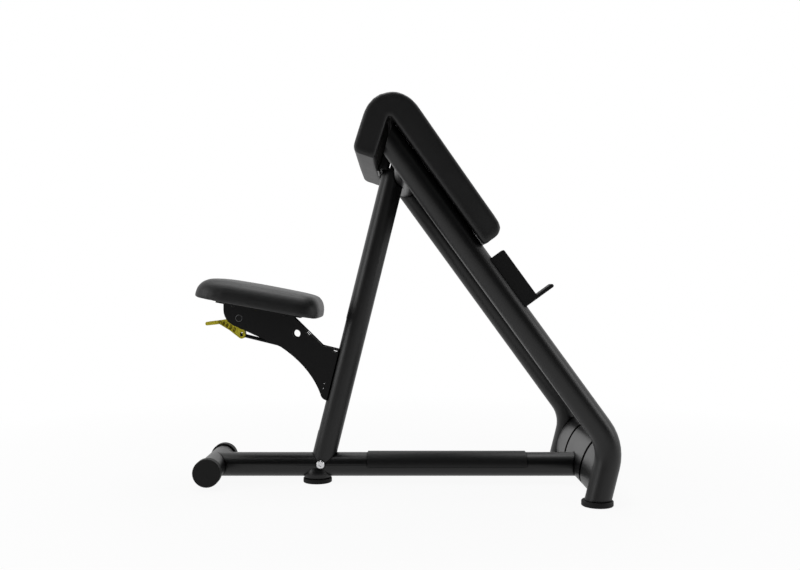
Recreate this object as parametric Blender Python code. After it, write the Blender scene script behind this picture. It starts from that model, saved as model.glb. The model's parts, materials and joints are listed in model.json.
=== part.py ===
"""A preacher bench: a welded tube frame, a one-piece chest and arm pad, and a seat that
slides on the leaning post and locks with a spring pin drawn back by a yellow lever.
Metres, +Z up. +X is the way the user faces, +Y is the user's left. The origin is on the
floor and the middle plane, midway between the rear caps' back and the legs' front."""

import math

import bmesh
import bpy
from mathutils import Matrix, Vector

# Clearances
weld_gap = 0.0003        # between pieces that touch
running_gap = 0.0006     # between pieces that slide on each other
past_face = 0.010        # how far a cutter reaches past the face it cuts
cut_block = 0.100        # half width of the blocks that cut ends level

# Frame tubes
overall_length = 1.094   # rear caps' back to the front of the bent legs
tube_radius = 0.0325
tube_wall = 0.003
base_axis_height = 0.049 # the lower tubes' axis above the floor
leg_half_track = 0.270   # middle plane to a leg's axis

# Rear crossbar
crossbar_length = 0.264  # over both caps
cap_radius = 0.0375
cap_length = 0.026
cap_end_wall = 0.005
cap_chamfer = 0.002

# Post
post_behind_bar = 0.03634  # post's axis behind the top crossbar's, at the crossbar's height
post_lean = math.atan(0.2476)
post_top_height = 0.861
post_slot_floor = 0.012    # from the post's axis to where its rear slot's cutter starts
post_slot_spare = 0.006    # slot's length left over at each end of the seat's travel

# Legs
leg_slope = math.atan(0.7276)      # upper run, from the vertical
leg_foot_slope = math.atan(0.25)   # lower run, from the vertical
leg_corner_height = 0.149          # where the two straight axes would meet
leg_bend_radius = 0.112
leg_bend_steps = 7
leg_top_height = 0.950             # legs are drawn to here, then cut along the chest pad
leg_low_height = -0.020            # legs are drawn to here, then cut level above the feet
leg_end_gap = 0.0155               # legs' upper ends to the chest pad's inner face
top_bar_height = 0.845

# Feet
foot_radius = 0.0395
foot_height = 0.013
foot_edge = 0.0015        # eased rims
foot_plug_length = 0.022
collar_inset = 0.0035
collar_top_radius = 0.027
collar_top_height = 0.042
collar_flare = 2.2       # how much of the collar's flare is near its foot
collar_steps = 6

# Front beam, an oval tube between the legs
beam_half_height = 0.0669
beam_half_depth = 0.0267
beam_lean = math.radians(21.3)
beam_axis_height = 0.0792
beam_lead = 0.0041       # the beam's axis ahead of the legs' axes
beam_end_inset = 0.006   # leg's axis to the beam's end, which is fitted round the leg
beam_joint_y = 0.113     # middle plane to a joint between beam sections
beam_joint_gap = 0.0040  # the groove that shows at a joint
base_tube_entry = 0.0200 # from the beam's axis back to where the base tube is drawn from
spigot_length = 0.090
spigot_wall = 0.004

# Tread sleeve on the base tube
sleeve_lead = 0.127      # from the post's foot to the sleeve's rear end
sleeve_length = 0.436
sleeve_thickness = 0.0033
sleeve_half_angle = math.radians(93)
sleeve_steps = 24

# Cross bolt through the base tube under the post
bolt_behind_foot = 0.002 # behind where the post's axis crosses the base tube's
bolt_rise = 0.0045       # above the base tube's axis
bolt_shank_radius = 0.006
bolt_head_radius = 0.0115
bolt_head_height = 0.0055
bolt_socket_radius = 0.0045
bolt_socket_depth = 0.0035
bolt_crown_share = 0.80  # flat crown's radius in the head's
bolt_rim_share = 0.45    # the dome's height in the head's
bolt_end_short = 0.002   # shank's end short of the nut's seat
nut_wall = 0.0022

# Barbell rests, measured from the leg's axis
rest_bottom = 0.0155     # along the leg, above the reference point below
rest_below_pad = 0.1593  # from the pad's lower inner corner down to the reference point
rest_length = 0.146
rest_stand = 0.034
rest_lip_reach = 0.0815
rest_lip_thickness = 0.0088
rest_lip_round = 0.0040
rest_hook_round = 0.003
rest_top_round = 0.004
rest_width = 0.040

# Chest and arm pad
pad_width = 0.617
pad_stand = 0.0015       # leg's surface to the pad's underside
arm_end_height = 0.6218  # of the pad's lower inner corner on the arm side
arm_end_thickness = 0.0621
arm_top_slope = math.radians(55.05)
chest_slope = math.radians(72.15)
chest_end_height = 0.8529
chest_end_back = 0.0743  # behind the legs' axes, at that height
chest_thickness = 0.0604
pad_ridge_radius = 0.0717
pad_notch_radius = 0.006
arm_corner_radius = 0.028
chest_corner_radius = 0.019
pad_inner_radius = 0.005
pad_least_radius = 0.0005
pad_edge_roll = 0.010
pad_crisp_share = 0.25   # roll of the inner edges and the chest end, in the others'
pad_crown = 0.0015
board_thickness = 0.012
arm_board_length = 0.330
arm_board_start = 0.035
chest_board_length = 0.085
chest_board_start = 0.018
board_side_margin = 0.040
pocket_past = 0.002      # a cutter's reach past a thin face

# Rails that carry the arm pad, welded along the legs' inboard sides
rail_start = 0.045       # along the leg, above the pad's lower end
rail_length = 0.180
rail_width = 0.064
rail_thickness = 0.006
rail_offset = 0.048      # rail's middle, inboard of the leg's axis
rail_screw_inset = 0.040

# Screws
screw_radius = 0.004
screw_head_radius = 0.007
screw_head_height = 0.0045
screw_crown_share = 0.6
screw_rim_share = 0.4
screw_edge_share = 1.7   # screw's axis to a rail's edge, in head radii
screw_grip = 0.010       # length in a board

# Chest bracket on the post's top
bracket_thickness = 0.005
bracket_width = 0.110
bracket_upstand = 0.078
bracket_base_width = 0.060
bracket_screw_share = 0.5
bracket_flange_depth = 0.023
bracket_lip = 0.007      # upstand's reach below the sole
bracket_flange_share = 0.62 # of the upstand's height that has flanges at full depth
bracket_front_reach = 0.002

# Seat
seat_tilt = math.radians(10.4)
seat_length = 0.3405
seat_width = 0.290
seat_rear_width = 0.240
seat_thickness = 0.0605
seat_front_gap = 0.0695  # from the seat's front to the post's rear, at the seat's bottom
seat_bottom_height = 0.4535
seat_plate_length = 0.232
seat_plate_width = 0.160
seat_plate_thickness = 0.006
seat_plate_start = 0.0603
seat_board_margin = 0.014
seat_screw_half_span = 0.055
seat_screw_inset = 0.045
seat_plan_power = 6.0    # how square the seat is, seen from above
seat_side_share = 0.22   # height of the upright sides in the thickness
seat_shoulder_share = 0.93
seat_front_round = 0.030
seat_rear_round = 0.048
seat_side_round = 0.036
seat_lower_edge = 0.005
seat_lower_inset = 0.002
seat_ring_count = 44
board_ring_count = 32

# Seat carriage
plate_spacing = 0.030    # between the side plates' inner faces
plate_thickness = 0.006
plate_low_along = 0.1762     # plates' lower tip, along the post
plate_high_along = 0.3204    # plates' upper edge at the post
plate_rear_cover = 0.0495    # plates' rear edge behind the lever's pivot, along the seat
plate_front_along = 0.2617   # plates' front end under the seat
plate_rear_reach = 0.042     # rear lower corner, behind and below the lever's pivot
plate_rear_drop = 0.0073
plate_rear_radius = 0.048
plate_curve_rear = (0.2891, 0.1863)   # along the post, behind its axis
plate_curve_pull = (0.2560, 0.0957)
plate_curve_low = (0.1898, 0.0501)
plate_tip_points = ((0.1850, 0.0478), (0.1813, 0.0441), (0.1786, 0.0400), (0.1770, 0.0355))
plate_elbow_back = 0.0767
plate_post_lap = 0.003   # plates' front edge inside the post's rear surface line
plate_curve_steps = 9
view_hole_place = (0.3352, 0.1536)
view_hole_radius = 0.0105
rivet_places = ((0.2204, 0.0461), (0.2062, 0.0462))
rivet_radius = 0.0011
upper_slot_place = (0.3419, 0.1232)
lower_slot_place = (0.3131, 0.0389)
slot_half_long = 0.0058
slot_half_wide = 0.0027
travel_half = 0.090
index_pitch = 0.030
index_count = 7
pin_axis_along = 0.294   # along the post, base tube's axis to the locking pin's axis
block_bottom_along = 0.184
block_top_along = 0.312
block_rear = 0.078       # from the post's axis
block_top_drop = 0.004
block_lower_rear_drop = 0.020   # below the pin's axis
tongue_thickness = 0.018
tongue_front = 0.008     # behind the post's axis
tongue_end_inset = 0.002
shoe_half_length = 0.058
index_bar_thickness = 0.006
index_bar_width = 0.030
index_bar_end = 0.025    # past the last hole's axis
index_bar_offset = 0.022 # post's axis to the bar's middle

# Locking pin, rod and lever
pin_radius = 0.006
pin_tip = 0.0245         # past the post's axis when locked
pin_length = 0.088
pin_collar_radius = 0.0092
pin_collar_length = 0.004
pin_nose_length = 0.002
pin_nose_taper = 0.0015
pin_stem_step = 0.001
spring_bore_floor = 0.006   # from the block's front face
spring_bore_radius = 0.010
spring_wire_radius = 0.0009
spring_turns = 6
spring_points_a_turn = 10
retainer_length = 0.003
rod_radius = 0.005
rod_end_reach = 0.301    # post's axis to the cross pin
cross_pin_radius = 0.003
cross_pin_stand = 0.001  # past the lever's faces
lever_arm = 0.0472
lever_pivot_angle = math.radians(7.1)
lever_pin_radius = 0.0097
lever_width = 0.022
lever_hub_radius = 0.0145
lever_eye_radius = 0.010
lever_throw = math.radians(12)
paddle_length = 0.034
paddle_width = 0.060
paddle_thickness = 0.010
paddle_drop = 0.006      # stem's end below the pivot
paddle_reach = 0.056     # stem's end behind the pivot
paddle_fall = 0.004
paddle_stem_lap = 0.002
lever_belly = (-0.034, 0.014)   # from the rod's eye
lever_back = (-0.030, -0.002)   # from the pivot
rod_slot_spare = 0.0026
rod_mouth_rear = 0.0125
rod_mouth_front = 0.030
rod_mouth_down = 0.020
rod_mouth_up = 0.0155
pocket_start = (-0.017, 0.013)  # from the rod's eye
pocket_end = (0.006, -0.004)    # from the stem's end
pocket_count = 4
pocket_share = 0.62
pocket_half_width = 0.0062
pocket_taper = 0.0006
pocket_web_half = 0.0025

# Facets
tube_facets = 32
small_facets = 24
tiny_facets = 16
rivet_facets = 8
arc_steps = 8
pad_roll_steps = 4
pad_middle_steps = 6

# Places worked out from the sizes above
bore_radius = tube_radius - tube_wall
rear_axis_x = -overall_length / 2 + cap_radius


def clear_scene():
    for thing in list(bpy.data.objects):
        bpy.data.objects.remove(thing)


def finish(name, colour, roughness, metallic=0.0):
    material = bpy.data.materials.new(name)
    material.use_nodes = True
    shader = material.node_tree.nodes["Principled BSDF"]
    shader.inputs["Base Color"].default_value = (*colour, 1.0)
    shader.inputs["Roughness"].default_value = roughness
    shader.inputs["Metallic"].default_value = metallic
    material.diffuse_color = (*colour, 1.0)
    return material


def make_finishes():
    return {
        "powder coat": finish("satin_black_powder_coat", (0.012, 0.012, 0.013), 0.38),
        "plate coat": finish("matt_black_plate", (0.010, 0.010, 0.010), 0.62),
        "vinyl": finish("black_vinyl", (0.014, 0.014, 0.015), 0.45),
        "rubber": finish("black_rubber", (0.011, 0.011, 0.011), 0.75),
        "tread": finish("black_tread_plastic", (0.012, 0.012, 0.012), 0.55),
        "yellow": finish("yellow_moulding", (0.74, 0.60, 0.03), 0.42),
        "nylon": finish("natural_nylon", (0.72, 0.70, 0.64), 0.50),
        "plywood": finish("black_stained_board", (0.030, 0.027, 0.024), 0.70),
        "steel": finish("bright_steel", (0.72, 0.72, 0.73), 0.25, 1.0),
        "dark steel": finish("blackened_steel", (0.05, 0.05, 0.05), 0.40, 1.0),
    }


# Mesh helpers


def place(name, bm, material, smooth_angle=35):
    """Makes an object of a bmesh, with its faces outwards and round faces shaded smooth."""
    bmesh.ops.recalc_face_normals(bm, faces=bm.faces)
    mesh = bpy.data.meshes.new(name)
    bm.to_mesh(mesh)
    bm.free()
    mesh.materials.append(material)
    mesh.shade_smooth()
    mesh.set_sharp_from_angle(angle=math.radians(smooth_angle))
    thing = bpy.data.objects.new(name, mesh)
    bpy.context.collection.objects.link(thing)
    return thing


def cutter(thing):
    thing.hide_render = True
    thing.display_type = "WIRE"
    return thing


def combine(thing, other, operation="DIFFERENCE"):
    boolean = thing.modifiers.new(other.name, "BOOLEAN")
    boolean.operation = operation
    boolean.solver = "EXACT"
    boolean.object = cutter(other)


def rod_mesh(start, end, radius, facets=small_facets, end_radius=None):
    """A round bar, or a cone, from start to end."""
    start, end = Vector(start), Vector(end)
    bm = bmesh.new()
    bmesh.ops.create_cone(
        bm, cap_ends=True, segments=facets, radius1=radius,
        radius2=radius if end_radius is None else end_radius, depth=(end - start).length,
    )
    turn = (end - start).to_track_quat("Z", "Y").to_matrix().to_4x4()
    bmesh.ops.transform(bm, matrix=Matrix.Translation((start + end) / 2) @ turn, verts=bm.verts)
    return bm


def turned_mesh(start, axis, profile, facets=small_facets):
    """Turns a closed profile of (radius, distance along the axis) points about the axis."""
    bm = bmesh.new()
    ring = [bm.verts.new((radius, 0.0, along)) for radius, along in profile]
    edges = [bm.edges.new((ring[i - 1], ring[i])) for i in range(len(ring))]
    bmesh.ops.spin(
        bm, geom=ring + edges, cent=(0, 0, 0), axis=(0, 0, 1), angle=math.tau,
        steps=facets, use_merge=True,
    )
    bmesh.ops.remove_doubles(bm, verts=bm.verts, dist=1e-6)
    turn = Vector(axis).to_track_quat("Z", "Y").to_matrix().to_4x4()
    bmesh.ops.transform(bm, matrix=Matrix.Translation(Vector(start)) @ turn, verts=bm.verts)
    return bm


def prism_mesh(outline, low_y, high_y):
    """Extrudes an outline of (x, z) points from low_y to high_y."""
    bm = bmesh.new()
    face = bm.faces.new([bm.verts.new((x, low_y, z)) for x, z in outline])
    made = bmesh.ops.extrude_face_region(bm, geom=[face])
    moved = [v for v in made["geom"] if isinstance(v, bmesh.types.BMVert)]
    bmesh.ops.translate(bm, vec=(0, high_y - low_y, 0), verts=moved)
    return bm


def loft_mesh(rings):
    """Skins closed rings of equal count, one after another, and caps both ends."""
    bm = bmesh.new()
    made = [[bm.verts.new(point) for point in ring] for ring in rings]
    count = len(made[0])
    for lower, upper in zip(made, made[1:]):
        for i in range(count):
            j = (i + 1) % count
            bm.faces.new((lower[i], lower[j], upper[j], upper[i]))
    bm.faces.new(made[0])
    bm.faces.new(made[-1])
    return bm


def rounded(corners):
    """An outline from (x, z, radius) corners, each turned into an arc."""
    outline = []
    for i, (x, z, radius) in enumerate(corners):
        here = Vector((x, z))
        before = (Vector(corners[i - 1][:2]) - here).normalized()
        after = (Vector(corners[(i + 1) % len(corners)][:2]) - here).normalized()
        if radius <= 0:
            outline.append((x, z))
            continue
        half = math.acos(max(-1, min(1, before.dot(after)))) / 2
        centre = here + (before + after).normalized() * (radius / math.sin(half))
        start = here + before * (radius / math.tan(half)) - centre
        end = here + after * (radius / math.tan(half)) - centre
        sweep = start.angle_signed(end)
        for step in range(arc_steps + 1):
            turned = start.copy()
            turned.rotate(Matrix.Rotation(-sweep * step / arc_steps, 2))
            outline.append(tuple(centre + turned))
    return outline


def crossing(point_a, way_a, point_b, way_b):
    """Where two lines in the X-Z plane meet."""
    across = way_a.x * way_b.y - way_a.y * way_b.x
    between = point_b - point_a
    return point_a + way_a * ((between.x * way_b.y - between.y * way_b.x) / across)


def in_space(flat, y):
    return Vector((flat[0], y, flat[1]))


# The legs' own directions and the centre line's points
leg_up = Vector((-math.sin(leg_slope), math.cos(leg_slope)))
leg_out = Vector((leg_up.y, -leg_up.x))
leg_foot_up = Vector((math.sin(leg_foot_slope), math.cos(leg_foot_slope)))
leg_turn = leg_slope + leg_foot_slope
leg_tangent = leg_bend_radius * math.tan(leg_turn / 2)
bend_centre_x = overall_length / 2 - leg_bend_radius - tube_radius
leg_corner = Vector((
    bend_centre_x + leg_bend_radius * math.cos(leg_foot_slope) + leg_tangent * leg_foot_up.x,
    leg_corner_height,
))


def leg_axis_at(height):
    """The upper run's axis at a height."""
    return leg_corner + leg_up * ((height - leg_corner.y) / leg_up.y)


def foot_axis_at(height):
    """The lower run's axis at a height."""
    return leg_corner + leg_foot_up * ((height - leg_corner.y) / leg_foot_up.y)


# The post's own directions, in the X-Z plane
post_up = Vector((math.sin(post_lean), math.cos(post_lean)))
post_back = Vector((-post_up.y, post_up.x))
post_foot_x = leg_axis_at(top_bar_height).x - post_behind_bar - (
    (top_bar_height - base_axis_height) * post_up.x / post_up.y
)
post_foot = Vector((post_foot_x, base_axis_height))
bolt_x = post_foot_x - bolt_behind_foot
bolt_height = base_axis_height + bolt_rise


def on_post(along, back):
    """A point in the X-Z plane, along the post from the base tube's axis and behind its axis."""
    return post_foot + post_up * along + post_back * back


def leg_rings(y, radius, low_cut, top):
    """Rings of a bent leg from below its foot's cut to its top."""
    bend_start = leg_corner - leg_foot_up * leg_tangent
    centre = bend_start + Vector((-leg_foot_up.y, leg_foot_up.x)) * leg_bend_radius
    stations = [(foot_axis_at(low_cut), leg_foot_slope)]
    for step in range(leg_bend_steps + 1):
        angle = leg_foot_slope - leg_turn * step / leg_bend_steps
        around = Vector((math.cos(angle), -math.sin(angle)))
        stations.append((centre + around * leg_bend_radius, angle))
    stations.append((leg_axis_at(top), -leg_slope))
    rings = []
    for middle, angle in stations:
        out = Vector((math.cos(angle), 0, -math.sin(angle)))
        rings.append([
            in_space(middle, y) + out * (radius * math.cos(turn))
            + Vector((0, radius * math.sin(turn), 0))
            for turn in (math.tau * k / tube_facets for k in range(tube_facets))
        ])
    return rings


def leg_solid(name, y, radius, low_cut, top, material):
    return place(name, loft_mesh(leg_rings(y, radius, low_cut, top)), material)


def tube(name, start, end, material, radius=tube_radius, wall=tube_wall):
    """A straight round tube, open at both ends."""
    thing = place(name, rod_mesh(start, end, radius, tube_facets), material)
    start, end = Vector(start), Vector(end)
    past = (end - start).normalized() * past_face
    bore = place(name + "_bore", rod_mesh(start - past, end + past, radius - wall, tube_facets), material)
    combine(thing, bore)
    return thing


def box(name, low, high, material):
    bm = bmesh.new()
    bmesh.ops.create_cube(bm, size=1)
    low, high = Vector(low), Vector(high)
    bmesh.ops.scale(bm, vec=high - low, verts=bm.verts)
    bmesh.ops.translate(bm, vec=(low + high) / 2, verts=bm.verts)
    return place(name, bm, material)


def slanted_box(name, corners, low_y, high_y, material):
    """A prism across Y from corners in the X-Z plane."""
    return place(name, prism_mesh([tuple(c) for c in corners], low_y, high_y), material)


def side_name(side):
    return "left" if side > 0 else "right"


# Base: crossbar, base tube, tread sleeve, foot and cross bolt


def beam_axis():
    return foot_axis_at(beam_axis_height) + Vector((beam_lead, 0))


def beam_outline(grow):
    """The oval section of the front beam, which leans a little further forwards than the legs."""
    middle = beam_axis()
    up = Vector((math.sin(beam_lean), math.cos(beam_lean)))
    across = Vector((up.y, -up.x))
    return [
        tuple(
            middle
            + up * ((beam_half_height + grow) * math.sin(turn))
            + across * ((beam_half_depth + grow) * math.cos(turn))
        )
        for turn in (math.tau * k / tube_facets for k in range(tube_facets))
    ]


def make_rear_crossbar(finishes):
    half = crossbar_length / 2
    bar_half = half - cap_end_wall - weld_gap
    tube(
        "rear_crossbar", (rear_axis_x, -bar_half, base_axis_height),
        (rear_axis_x, bar_half, base_axis_height), finishes["powder coat"],
    )
    for side in (1, -1):
        profile = [
            (0.0, 0.0), (cap_radius - cap_chamfer, 0.0), (cap_radius, cap_chamfer),
            (cap_radius, cap_length - cap_chamfer / 2), (cap_radius - cap_chamfer / 2, cap_length),
            (tube_radius + weld_gap, cap_length), (tube_radius + weld_gap, cap_end_wall),
            (0.0, cap_end_wall),
        ]
        bm = turned_mesh(
            (rear_axis_x, side * half, base_axis_height), (0, -side, 0), profile, tube_facets
        )
        place("rear_cap_" + side_name(side), bm, finishes["rubber"])


def make_base_tube(finishes):
    front = beam_axis().x - base_tube_entry
    base = tube(
        "base_tube", (rear_axis_x, 0, base_axis_height), (front, 0, base_axis_height),
        finishes["powder coat"],
    )
    half = crossbar_length / 2
    saddle = place(
        "base_rear_saddle",
        rod_mesh(
            (rear_axis_x, -half, base_axis_height), (rear_axis_x, half, base_axis_height),
            tube_radius + weld_gap, tube_facets,
        ),
        finishes["powder coat"],
    )
    combine(base, saddle)
    front_cut = place(
        "base_front_saddle", prism_mesh(beam_outline(weld_gap), -half, half),
        finishes["powder coat"],
    )
    combine(base, front_cut)
    combine(base, bolt_hole("base_bolt_hole", finishes))


def bolt_hole(name, finishes):
    reach = tube_radius * 2
    bm = rod_mesh(
        (bolt_x, -reach, bolt_height), (bolt_x, reach, bolt_height),
        bolt_shank_radius + weld_gap,
    )
    return place(name, bm, finishes["powder coat"])


def make_tread_sleeve(finishes):
    inner = tube_radius + weld_gap
    outer = inner + sleeve_thickness
    turns = [sleeve_half_angle * (2 * k / sleeve_steps - 1) for k in range(sleeve_steps + 1)]
    rows = [(outer * math.sin(t), base_axis_height + outer * math.cos(t)) for t in turns]
    rows += [(inner * math.sin(t), base_axis_height + inner * math.cos(t)) for t in reversed(turns)]
    sleeve_start = post_foot_x + sleeve_lead
    ends = (sleeve_start, sleeve_start + sleeve_length)
    rings = [[Vector((x, y, z)) for y, z in rows] for x in ends]
    return place("tread_sleeve", loft_mesh(rings), finishes["tread"])


def bolt_dome():
    """The profile shared by the bolt's head and its cap nut, from the crown to the rim."""
    return [
        (0.0, 0.0), (bolt_head_radius * bolt_crown_share, 0.0),
        (bolt_head_radius, bolt_head_height * bolt_rim_share), (bolt_head_radius, bolt_head_height),
    ]


def make_cross_bolt(finishes):
    seat = tube_radius + weld_gap
    head_end = seat + bolt_head_height
    shank_end = bolt_head_height + 2 * seat - bolt_end_short
    head = bolt_dome() + [
        (bolt_shank_radius, bolt_head_height), (bolt_shank_radius, shank_end), (0.0, shank_end),
    ]
    bolt = place(
        "post_bolt",
        turned_mesh((bolt_x, -head_end, bolt_height), (0, 1, 0), head, small_facets),
        finishes["steel"],
    )
    socket = place(
        "post_bolt_socket",
        rod_mesh(
            (bolt_x, -head_end - past_face, bolt_height),
            (bolt_x, -head_end + bolt_socket_depth, bolt_height), bolt_socket_radius, 6,
        ),
        finishes["steel"],
    )
    combine(bolt, socket)
    shank = bolt_shank_radius + weld_gap
    cap = bolt_dome() + [(shank, bolt_head_height), (shank, nut_wall), (0.0, nut_wall)]
    place(
        "post_bolt_cap_nut",
        turned_mesh((bolt_x, head_end, bolt_height), (0, -1, 0), cap, small_facets),
        finishes["steel"],
    )


def foot_profile():
    """A round rubber foot with eased rims."""
    return [
        (0.0, 0.0), (foot_radius - foot_edge, 0.0), (foot_radius, foot_edge),
        (foot_radius, foot_height - foot_edge), (foot_radius - foot_edge, foot_height),
        (0.0, foot_height),
    ]


def make_middle_foot(finishes):
    foot_x = on_post(-base_axis_height / post_up.y, 0).x
    place(
        "middle_foot_pad", turned_mesh((foot_x, 0, 0), (0, 0, 1), foot_profile(), tube_facets),
        finishes["rubber"],
    )
    low, flare = foot_height + weld_gap, foot_radius - collar_inset - collar_top_radius
    profile = [(0.0, low)]
    for k in range(collar_steps + 1):
        share = k / collar_steps
        radius = collar_top_radius + flare * (1 - share) ** collar_flare
        profile.append((radius, low + (collar_top_height - low) * share))
    profile.append((0.0, collar_top_height))
    collar = place(
        "middle_foot_collar", turned_mesh((foot_x, 0, 0), (0, 0, 1), profile, tube_facets),
        finishes["powder coat"],
    )
    saddle = place(
        "collar_saddle",
        rod_mesh(
            (foot_x - foot_radius * 2, 0, base_axis_height),
            (foot_x + foot_radius * 2, 0, base_axis_height),
            tube_radius + weld_gap, tube_facets,
        ),
        finishes["powder coat"],
    )
    combine(collar, saddle)


# Legs, front beam, top crossbar and rests


def make_legs(finishes):
    for side in (1, -1):
        y = side * leg_half_track
        name = "leg_" + side_name(side)
        coat = finishes["powder coat"]
        leg = leg_solid(name, y, tube_radius, leg_low_height, leg_top_height, coat)
        bore = leg_solid(
            name + "_bore", y, bore_radius, leg_low_height - past_face, leg_top_height + past_face, coat
        )
        combine(leg, bore)
        sole = box(
            name + "_sole_cut", (0, y - cut_block, -cut_block),
            (overall_length, y + cut_block, foot_height + weld_gap), coat,
        )
        combine(leg, sole)
        foot, up, off = chest_inner_face()
        low, high = foot - up * cut_block, foot + up * cut_block * 2
        mitre = slanted_box(
            name + "_top_cut",
            [low + off * leg_end_gap, high + off * leg_end_gap, high - off * cut_block,
             low - off * cut_block],
            y - tube_radius * 2, y + tube_radius * 2, coat,
        )
        combine(leg, mitre)
        make_leg_foot(side, finishes)


def make_leg_foot(side, finishes):
    y = side * leg_half_track
    name = "leg_foot_" + side_name(side)
    x = foot_axis_at(foot_height / 2).x
    foot = place(
        name, turned_mesh((x, y, 0), (0, 0, 1), foot_profile(), tube_facets), finishes["rubber"]
    )
    low = foot_axis_at(foot_height / 2)
    plug = place(
        name + "_plug",
        rod_mesh(
            in_space(low, y), in_space(low + leg_foot_up * foot_plug_length, y),
            bore_radius - weld_gap, small_facets,
        ),
        finishes["rubber"],
    )
    combine(foot, plug, "UNION")


def make_front_beam(finishes):
    coat = finishes["powder coat"]
    half_gap = beam_joint_gap / 2
    beam_end = leg_half_track - beam_end_inset
    spans = {
        "front_beam_centre": (-beam_joint_y + half_gap, beam_joint_y - half_gap),
        "front_beam_end_left": (beam_joint_y + half_gap, beam_end),
        "front_beam_end_right": (-beam_end, -beam_joint_y - half_gap),
    }
    for name, (low, high) in spans.items():
        beam = place(name, prism_mesh(beam_outline(0), low, high), coat)
        bore_mesh = prism_mesh(beam_outline(-tube_wall), low - past_face, high + past_face)
        bore = place(name + "_bore", bore_mesh, coat)
        combine(beam, bore)
        if name != "front_beam_centre":
            side = 1 if name.endswith("left") else -1
            leg_cut = leg_solid(
                name + "_leg_cut", side * leg_half_track, tube_radius + weld_gap, leg_low_height,
                leg_corner_height * 3, coat,
            )
            combine(beam, leg_cut)
    for side in (1, -1):
        middle = side * beam_joint_y
        name = "beam_spigot_" + side_name(side)
        span = (middle - spigot_length / 2, middle + spigot_length / 2)
        outer = -tube_wall - weld_gap
        spigot = place(name, prism_mesh(beam_outline(outer), *span), finishes["dark steel"])
        bore = place(
            name + "_bore",
            prism_mesh(beam_outline(outer - spigot_wall), span[0] - past_face, span[1] + past_face),
            finishes["dark steel"],
        )
        combine(spigot, bore)


def make_top_crossbar(finishes):
    axis = leg_axis_at(top_bar_height)
    coat = finishes["powder coat"]
    bar = tube(
        "top_crossbar", in_space(axis, -leg_half_track), in_space(axis, leg_half_track), coat
    )
    for side in (1, -1):
        leg_cut = leg_solid(
            "top_bar_cut_" + side_name(side), side * leg_half_track, tube_radius + weld_gap,
            leg_low_height, leg_top_height + past_face, coat,
        )
        combine(bar, leg_cut)


def rest_corner(along, out):
    """A point in the X-Z plane beside a leg's upper run."""
    return leg_axis_at(arm_end_height - rest_below_pad) + leg_up * along + leg_out * out


def make_rests(finishes):
    top = rest_bottom + rest_length
    stand = tube_radius + rest_stand
    lip = tube_radius + rest_lip_reach
    inside = rest_bottom + rest_lip_thickness
    saddle_depth = tube_radius * 0.5
    corners = [
        (*rest_corner(rest_bottom, saddle_depth), 0),
        (*rest_corner(rest_bottom, lip), rest_lip_round),
        (*rest_corner(inside, lip), rest_lip_round),
        (*rest_corner(inside, stand), rest_hook_round),
        (*rest_corner(top, stand), rest_top_round),
        (*rest_corner(top, saddle_depth), 0),
    ]
    for side in (1, -1):
        y = side * leg_half_track
        name = "barbell_rest_" + side_name(side)
        rest = place(
            name, prism_mesh(rounded(corners), y - rest_width / 2, y + rest_width / 2),
            finishes["plate coat"],
        )
        leg_cut = leg_solid(
            name + "_saddle", y, tube_radius + weld_gap, leg_low_height, leg_top_height,
            finishes["plate coat"],
        )
        combine(rest, leg_cut)


# Post


def make_post(finishes):
    coat = finishes["powder coat"]
    top_along = (post_top_height + tube_radius - base_axis_height) / post_up.y
    post = tube("post_tube", in_space(post_foot, 0), in_space(on_post(top_along, 0), 0), coat)
    base_cut = place(
        "post_base_cut",
        rod_mesh(
            (post_foot_x - cut_block, 0, base_axis_height),
            (post_foot_x + cut_block, 0, base_axis_height),
            tube_radius + weld_gap, tube_facets,
        ),
        coat,
    )
    combine(post, base_cut)
    below = box(
        "post_below_cut", (post_foot_x - cut_block, -cut_block, -cut_block),
        (post_foot_x + cut_block, cut_block, base_axis_height), coat,
    )
    combine(post, below)
    combine(post, bolt_hole("post_bolt_hole", finishes))
    top_x = on_post(top_along, 0).x
    top_cut = box(
        "post_top_cut", (top_x - cut_block, -cut_block, post_top_height),
        (top_x + cut_block, cut_block, post_top_height + cut_block), coat,
    )
    combine(post, top_cut)
    bar_axis = leg_axis_at(top_bar_height)
    bar_cut = place(
        "post_bar_cut",
        rod_mesh(
            in_space(bar_axis, -cut_block), in_space(bar_axis, cut_block), tube_radius + weld_gap,
            tube_facets,
        ),
        coat,
    )
    combine(post, bar_cut)
    slot_half = tongue_thickness / 2 + running_gap
    slot_low = block_bottom_along - travel_half - post_slot_spare
    slot_high = block_top_along + travel_half + post_slot_spare
    slot_past = tube_radius + past_face
    slot = slanted_box(
        "post_slot_cut",
        [on_post(slot_low, post_slot_floor), on_post(slot_low, slot_past),
         on_post(slot_high, slot_past), on_post(slot_high, post_slot_floor)],
        -slot_half, slot_half, coat,
    )
    combine(post, slot)


def make_index_bar(finishes):
    steel = finishes["dark steel"]
    front = -index_bar_offset - index_bar_thickness / 2
    rear = -index_bar_offset + index_bar_thickness / 2
    reach = (index_count - 1) / 2 * index_pitch + index_bar_end
    low, high = pin_axis_along - reach, pin_axis_along + reach
    half = index_bar_width / 2
    bar = slanted_box(
        "index_bar",
        [on_post(low, front), on_post(low, rear), on_post(high, rear), on_post(high, front)],
        -half, half, steel,
    )
    for k in range(index_count):
        along = pin_axis_along + (k - (index_count - 1) / 2) * index_pitch
        hole = place(
            f"index_hole_{k + 1}",
            rod_mesh(
                in_space(on_post(along, front - past_face), 0),
                in_space(on_post(along, rear + past_face), 0), pin_radius + weld_gap, tiny_facets,
            ),
            steel,
        )
        combine(bar, hole)


# Chest and arm pad


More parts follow.
